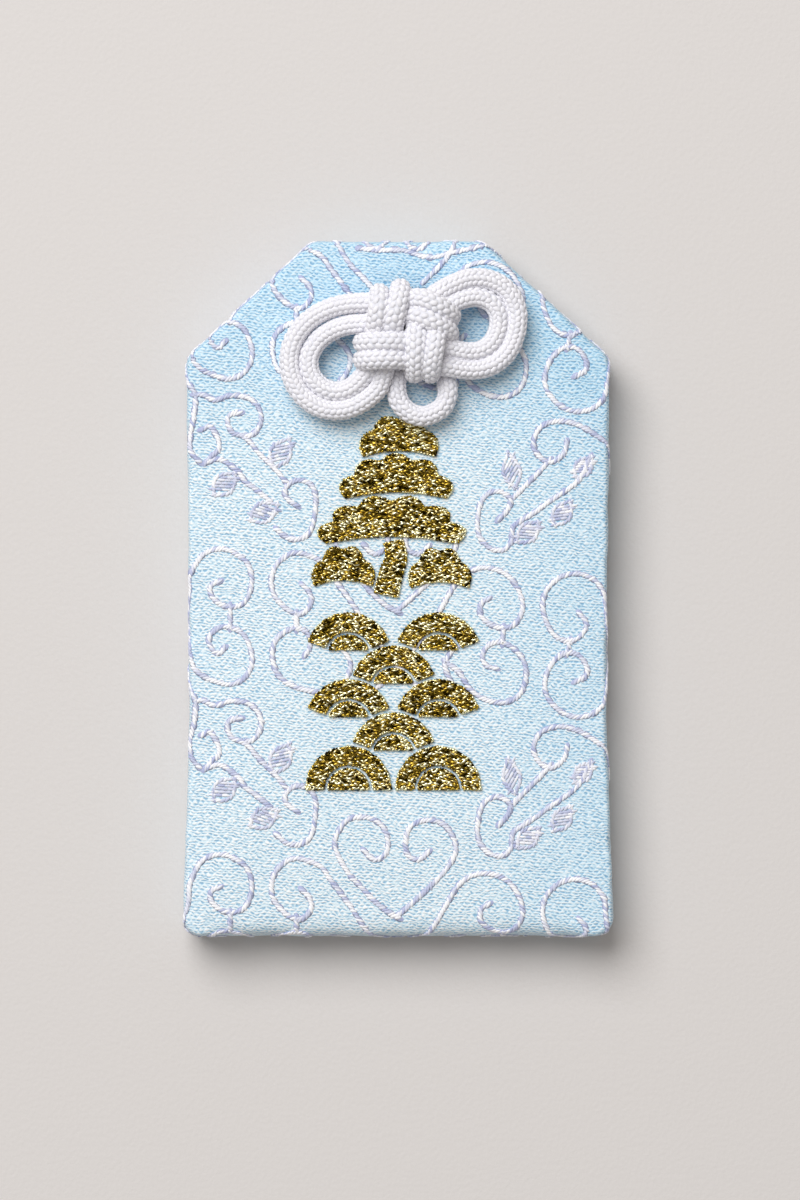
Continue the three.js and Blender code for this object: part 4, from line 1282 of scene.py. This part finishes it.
class CHARM_OT_scrolls(bpy.types.Operator):
    """Sets the scrolls of lavender thread on the front and the back of the brocade"""

    bl_idname = "charm.scrolls"
    bl_label = "Scrolls"

    def execute(self, context):
        embroidery = context.scene.charm_embroidery
        rng = np.random.default_rng(11)
        cloth = Cloth()
        thread = spun_thread(
            "Lavender silk thread", embroidery.scroll_painted_shade, embroidery.scroll_painted_highlight, 0.55,
            0.2 * MM,
        )
        stitch, pitch = embroidery.scroll_stitch, embroidery.scroll_pitch
        # Each layer: its strokes, the step along them, the slant in degrees, the length and width
        # of a stitch as shares, its rise off the cloth, and its darkest and lightest shade, between
        # painted shade and painted highlight. The first is a flat bed in the darkest shade under
        # the
        # stems: painted shade between their slanted stitches
        layers = (
            ("stems", stitch, 0, 1.6, 2, 0.0, (0, 0)),
            ("stems", pitch, 32, 1, 1, 0.08 * MM, (0, 1)),
            ("sides", pitch * 1.2, 24, 0.9, 0.95, 0.07 * MM, (0, 0.7)),
            ("fills", stitch * 0.6, 0, 1.1, 0.9, 0.06 * MM, (0, 0.8)),
        )
        laid = []
        for part, step, *_ in layers:
            laid.append(scroll_lines(cloth, scroll_strokes(part), step, stitch * SCROLL_REACH))
        for name, front in (("front_scrolls", True), ("back_scrolls", False)):
            parts, shades = [], []
            for layer, lines in zip(layers, laid):
                _, _, slant, long, wide, lift, (dark, light) = layer
                here = (lines[0][:, 2] > SEAM_LEVEL) == front
                places, headings, normals, bends = (rows[here] for rows in lines)
                count = len(places)
                slants = np.radians(rng.normal(slant, slant * SLANT_SPREAD, count))
                # On the bent rim a long stitch would stand off the cloth at its ends
                longest = np.sqrt(8 * STAND_OFF / np.maximum(bends, 1))
                parts.append(stitches(
                    places + normals * lift, turned(headings, normals, slants), normals,
                    np.minimum(stitch * long * rng.uniform(0.85, 1.1, count), longest),
                    embroidery.scroll_width * wide * rng.uniform(0.8, 1.1, count),
                    SCROLL_HEIGHT + lift, SCROLL_DIP,
                ))
                shades.append(rng.uniform(dark, light, count))
            points, faces = join(*parts)
            make_piece(
                name, points, faces, thread, "pouch",
                attributes={"shade": np.repeat(np.concatenate(shades), POINTS_PER_STITCH)},
            )
        return {"FINISHED"}


# The felt under the gold: its height as a share of the island's, and its shade, near the darkest of
# the gilt: painted shade between the stitches
FELT_HEIGHT = 0.5
FELT_PAINTED_SHADE = 0.1
# A gold stitch: its height and dip, how far it tilts, and the beta spread of its shades, from
# painted shade to painted highlight
GOLD_HEIGHT = 0.24 * MM
GOLD_DIP = 0.06 * MM
GOLD_TILT = 0.22
GOLD_SHADES = (0.8, 1.05)


class CHARM_OT_gold(bpy.types.Operator):
    """Covers each gold island with two layers of slanted gilt stitches on a felt underlay"""

    bl_idname = "charm.gold"
    bl_label = "Gold embroidery"

    def execute(self, context):
        embroidery = context.scene.charm_embroidery
        rng = np.random.default_rng(23)
        gilt = gold_lame(embroidery)
        cloth = Cloth()
        for node in GOLD_NODES:
            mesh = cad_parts[node].data
            low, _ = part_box(node)
            felt_points = np.array([vertex.co for vertex in mesh.vertices])
            felt_points[:, 2] = low.z + (felt_points[:, 2] - low.z) * FELT_HEIGHT
            felt_points[:, 2] += cloth.rises(felt_points)
            felt = felt_points, [tuple(polygon.vertices) for polygon in mesh.polygons]
            centres, headings, lengths = island_stitches(node, embroidery, rng)
            count = len(centres)
            centres[:, 2] += cloth.rises(centres)
            tilts = rng.normal(0, GOLD_TILT, (count, 2))
            threads = stitches(
                centres, headings, unit(np.column_stack([tilts, np.ones(count)])), lengths,
                embroidery.gold_width * rng.uniform(0.8, 1.1, count),
                GOLD_HEIGHT, GOLD_DIP,
            )
            points, faces = join(felt, threads)
            lights = np.repeat(rng.beta(*GOLD_SHADES, count), POINTS_PER_STITCH)
            make_piece(
                f"{node}_stitches", points, faces, gilt, "pouch", [node],
                {"shade": np.concatenate([np.full(len(felt_points), FELT_PAINTED_SHADE), lights])},
            )
        return {"FINISHED"}


# Length, width, height and dip of a slip stitch and of an overcast stitch
SLIP_STITCH = (1.3 * MM, 0.36 * MM, 0.36 * MM, 0.2 * MM)
OVERCAST_STITCH = (0.7 * MM, 0.34 * MM, 0.3 * MM, 0.08 * MM)
# Slip stitches: depth as a share of the groove's, height of the lowest above the fold, and slant
# and its spread in degrees
SLIP_DEPTH = 0.35
SLIP_START = 4.5 * MM
SLIP_SLANT = (58, 6)
# Overcast stitches: their number, their unevenness as an angle, and how steep they are
OVERCASTS = 46
OVERCAST_SCATTER = 0.03
OVERCAST_STEEPNESS = 1.2
# Darkest and lightest shade of both
SEWING_SHADES = (0, 0.8)


class CHARM_OT_seams(bpy.types.Operator):
    """Sews the slip stitches of the sides and mouth and overcasts the eyelet"""

    bl_idname = "charm.seams"
    bl_label = "Seams and eyelet"

    def execute(self, context):
        pouch = context.scene.charm_pouch
        rng = np.random.default_rng(31)
        thread = spun_thread(
            "Spun polyester thread", pouch.seam_colour, pouch.seam_light, 0.7, 0.15 * MM
        )
        edge = pouch_outline(pouch, pouch.groove * SLIP_DEPTH)
        runs = {"left": [], "right": [], "mouth": []}
        for here, after in zip(edge, np.roll(edge, -1, 0)):
            heading = unit(after - here)
            if here[1] > POUCH_TOP - 1 * MM:
                runs["mouth"].append((here, heading))
            elif here[1] > POUCH_BOTTOM + SLIP_START:
                runs["left" if here[0] < 0 else "right"].append((here, heading))
        for side, run in runs.items():
            # A stitch stands at every third point of the outline
            run = run[1::3]
            places = np.array([(*place, SEAM_LEVEL) for place, _ in run])
            along = np.array([(*heading, 0.0) for _, heading in run])
            outward = np.column_stack([along[:, 1], -along[:, 0], np.zeros(len(run))])
            headings = turned(along, outward, np.radians(rng.normal(*SLIP_SLANT, len(run))))
            points, faces = stitches(places, headings, outward, *SLIP_STITCH)
            shades = np.repeat(rng.uniform(*SEWING_SHADES, len(run)), POINTS_PER_STITCH)
            make_piece(
                f"{side}_slip_stitches", points, faces, thread, "pouch",
                [f"{side}_seam_thread"], {"shade": shades},
            )
        turns = np.linspace(0, 2 * math.pi, OVERCASTS, endpoint=False)
        turns += rng.uniform(-OVERCAST_SCATTER, OVERCAST_SCATTER, OVERCASTS)
        spokes = np.column_stack([np.cos(turns), np.sin(turns), np.zeros(OVERCASTS)])
        centres = EYELET + spokes * (*EYELET_OPEN, 0) - (0, 0, pouch.dimple)
        drop = unit(spokes + (0, 0, OVERCAST_STEEPNESS))
        outward = np.cross(drop, np.cross((0, 0, 1), spokes))
        points, faces = stitches(centres, drop, outward, *OVERCAST_STITCH)
        shades = np.repeat(rng.uniform(*SEWING_SHADES, OVERCASTS), POINTS_PER_STITCH)
        make_piece(
            "eyelet_overcast", points, faces, thread, "pouch",
            ["eyelet_stitching"], {"shade": shades},
        )
        return {"FINISHED"}


# The wadding: room round the stopper, height at the edge and gained further in as shares of half
# its thickness, width of that slope, and size and height of its clumps
STOPPER_ROOM = 0.5 * MM
WADDING_EDGE = 0.35
WADDING_GAIN = 0.6
WADDING_SLOPE = 1.5 * MM
CLUMP_SIZE = 3 * MM
CLUMP_HEIGHT = 0.2


class CHARM_OT_filling(bpy.types.Operator):
    """Makes the wadding and finishes the card, interlining and talisman"""

    bl_idname = "charm.filling"
    bl_label = "Filling and talisman"

    def execute(self, context):
        pouch = context.scene.charm_pouch
        # Carded polyester: a white haze of fine hairs with no edge
        wadding = fibrous(
            "Polyester wadding", linear("#e9e9e4"), linear("#fbfbf8"), 0.6 * MM, 1.0, sheen=0.4
        )
        flat = pouch_outline(pouch, pouch.filling_inset)
        hole = circle(40) * (STOPPER_RADIUS + STOPPER_ROOM) + EYELET[:2]
        inner = pouch_outline(pouch, pouch.filling_inset + FACE_MARGIN)
        holes = [hole] if inside(hole, inner).all() else []
        sheet, triangles = flat_face(flat, inner, holes)
        count = len(sheet)
        middle = (WADDING_LOW.z + WADDING_HIGH.z) / 2
        half = (WADDING_HIGH.z - WADDING_LOW.z) / 2
        rise = smooth_step(0, WADDING_SLOPE, edge_distance(sheet, flat))
        puff = half * (WADDING_EDGE + WADDING_GAIN * rise)
        clumps = ripple(np.column_stack([sheet, np.zeros(count)]), CLUMP_SIZE)
        clumps *= CLUMP_HEIGHT * half
        upper = np.column_stack([sheet, middle + np.minimum(puff + clumps, half)])
        lower = np.column_stack([sheet, middle - np.minimum(puff - clumps, half)])
        faces = [tuple(face) for face in triangles]
        faces += [tuple(index + count for index in reversed(face)) for face in triangles]
        rim = len(flat)
        faces += [(i + count, (i + 1) % rim + count, (i + 1) % rim, i) for i in range(rim)]
        pad = make_piece(
            "wadding_batt", np.vstack([upper, lower]), faces, wadding, "pouch",
            ["wadding_pad"],
        )
        finishes = {
            # Bonded fibre: off-white, matte and slightly furry
            "interlining_strip": fibrous(
                "Non-woven interlining", linear("#e4e2d8"), linear("#f3f1ea"), 0.4 * MM, 0.95,
                sheen=0.2,
            ),
            # Pressed waste paper: dull grey-brown with darker specks
            "stiffener_card": fibrous(
                "Greyboard", linear("#94897a"), linear("#b3aa99"), 0.5 * MM, 0.9
            ),
            # Planed softwood: pale honey with straight grain along the tablet
            "talisman_tablet": fibrous(
                "Cypress wood", linear("#cda873"), linear("#e6cb9c"), 1.2 * MM, 0.55,
                stretch=(1.0, 0.06, 1.0),
            ),
            # Mulberry paper: cream, with long pale fibres
            "talisman_wrapper": fibrous(
                "Mulberry paper", linear("#e9e2d2"), linear("#f7f3ea"), 0.8 * MM, 0.85,
                stretch=(1.0, 0.4, 1.0),
            ),
            # Dyed paper: even red, a little paler where the fibres show
            "wrapper_band": fibrous(
                "Dyed red paper", linear("#a8342f"), linear("#bd4a42"), 0.5 * MM, 0.8
            ),
        }
        for node, material in finishes.items():
            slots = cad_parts[node].data.materials
            slots.clear()
            slots.append(material)
        return {"FINISHED"}


class CHARM_PT_panel(bpy.types.Panel):
    """Lists the steps and sizes of the charm"""

    bl_idname = "CHARM_PT_panel"
    bl_label = "Charm"
    bl_space_type = "VIEW_3D"
    bl_region_type = "UI"
    bl_category = "Charm"

    def draw(self, context):
        for operator in OPERATORS:
            self.layout.operator(operator.bl_idname)
        for name in SETTINGS:
            box = self.layout.box()
            settings = getattr(context.scene, name)
            for key in settings.bl_rna.properties.keys():
                if key not in ("rna_type", "name"):
                    box.prop(settings, key)


SETTINGS = {
    "charm_stage": StageSettings,
    "charm_cord": CordSettings,
    "charm_pouch": PouchSettings,
    "charm_embroidery": EmbroiderySettings,
}
OPERATORS = (
    CHARM_OT_stage, CHARM_OT_knot, CHARM_OT_pouch, CHARM_OT_scrolls, CHARM_OT_gold,
    CHARM_OT_seams, CHARM_OT_filling,
)
CLASSES = (*SETTINGS.values(), *OPERATORS, CHARM_PT_panel)


def register():
    for cls in CLASSES:
        bpy.utils.register_class(cls)
    for name, cls in SETTINGS.items():
        setattr(bpy.types.Scene, name, PointerProperty(type=cls))


def unregister():
    for name in SETTINGS:
        delattr(bpy.types.Scene, name)
    for cls in reversed(CLASSES):
        bpy.utils.unregister_class(cls)


def main():
    register()
    bpy.ops.charm.stage()
    bpy.ops.charm.knot()
    bpy.ops.charm.pouch()
    bpy.ops.charm.scrolls()
    bpy.ops.charm.gold()
    bpy.ops.charm.seams()
    bpy.ops.charm.filling()


if __name__ == "__main__":
    main()
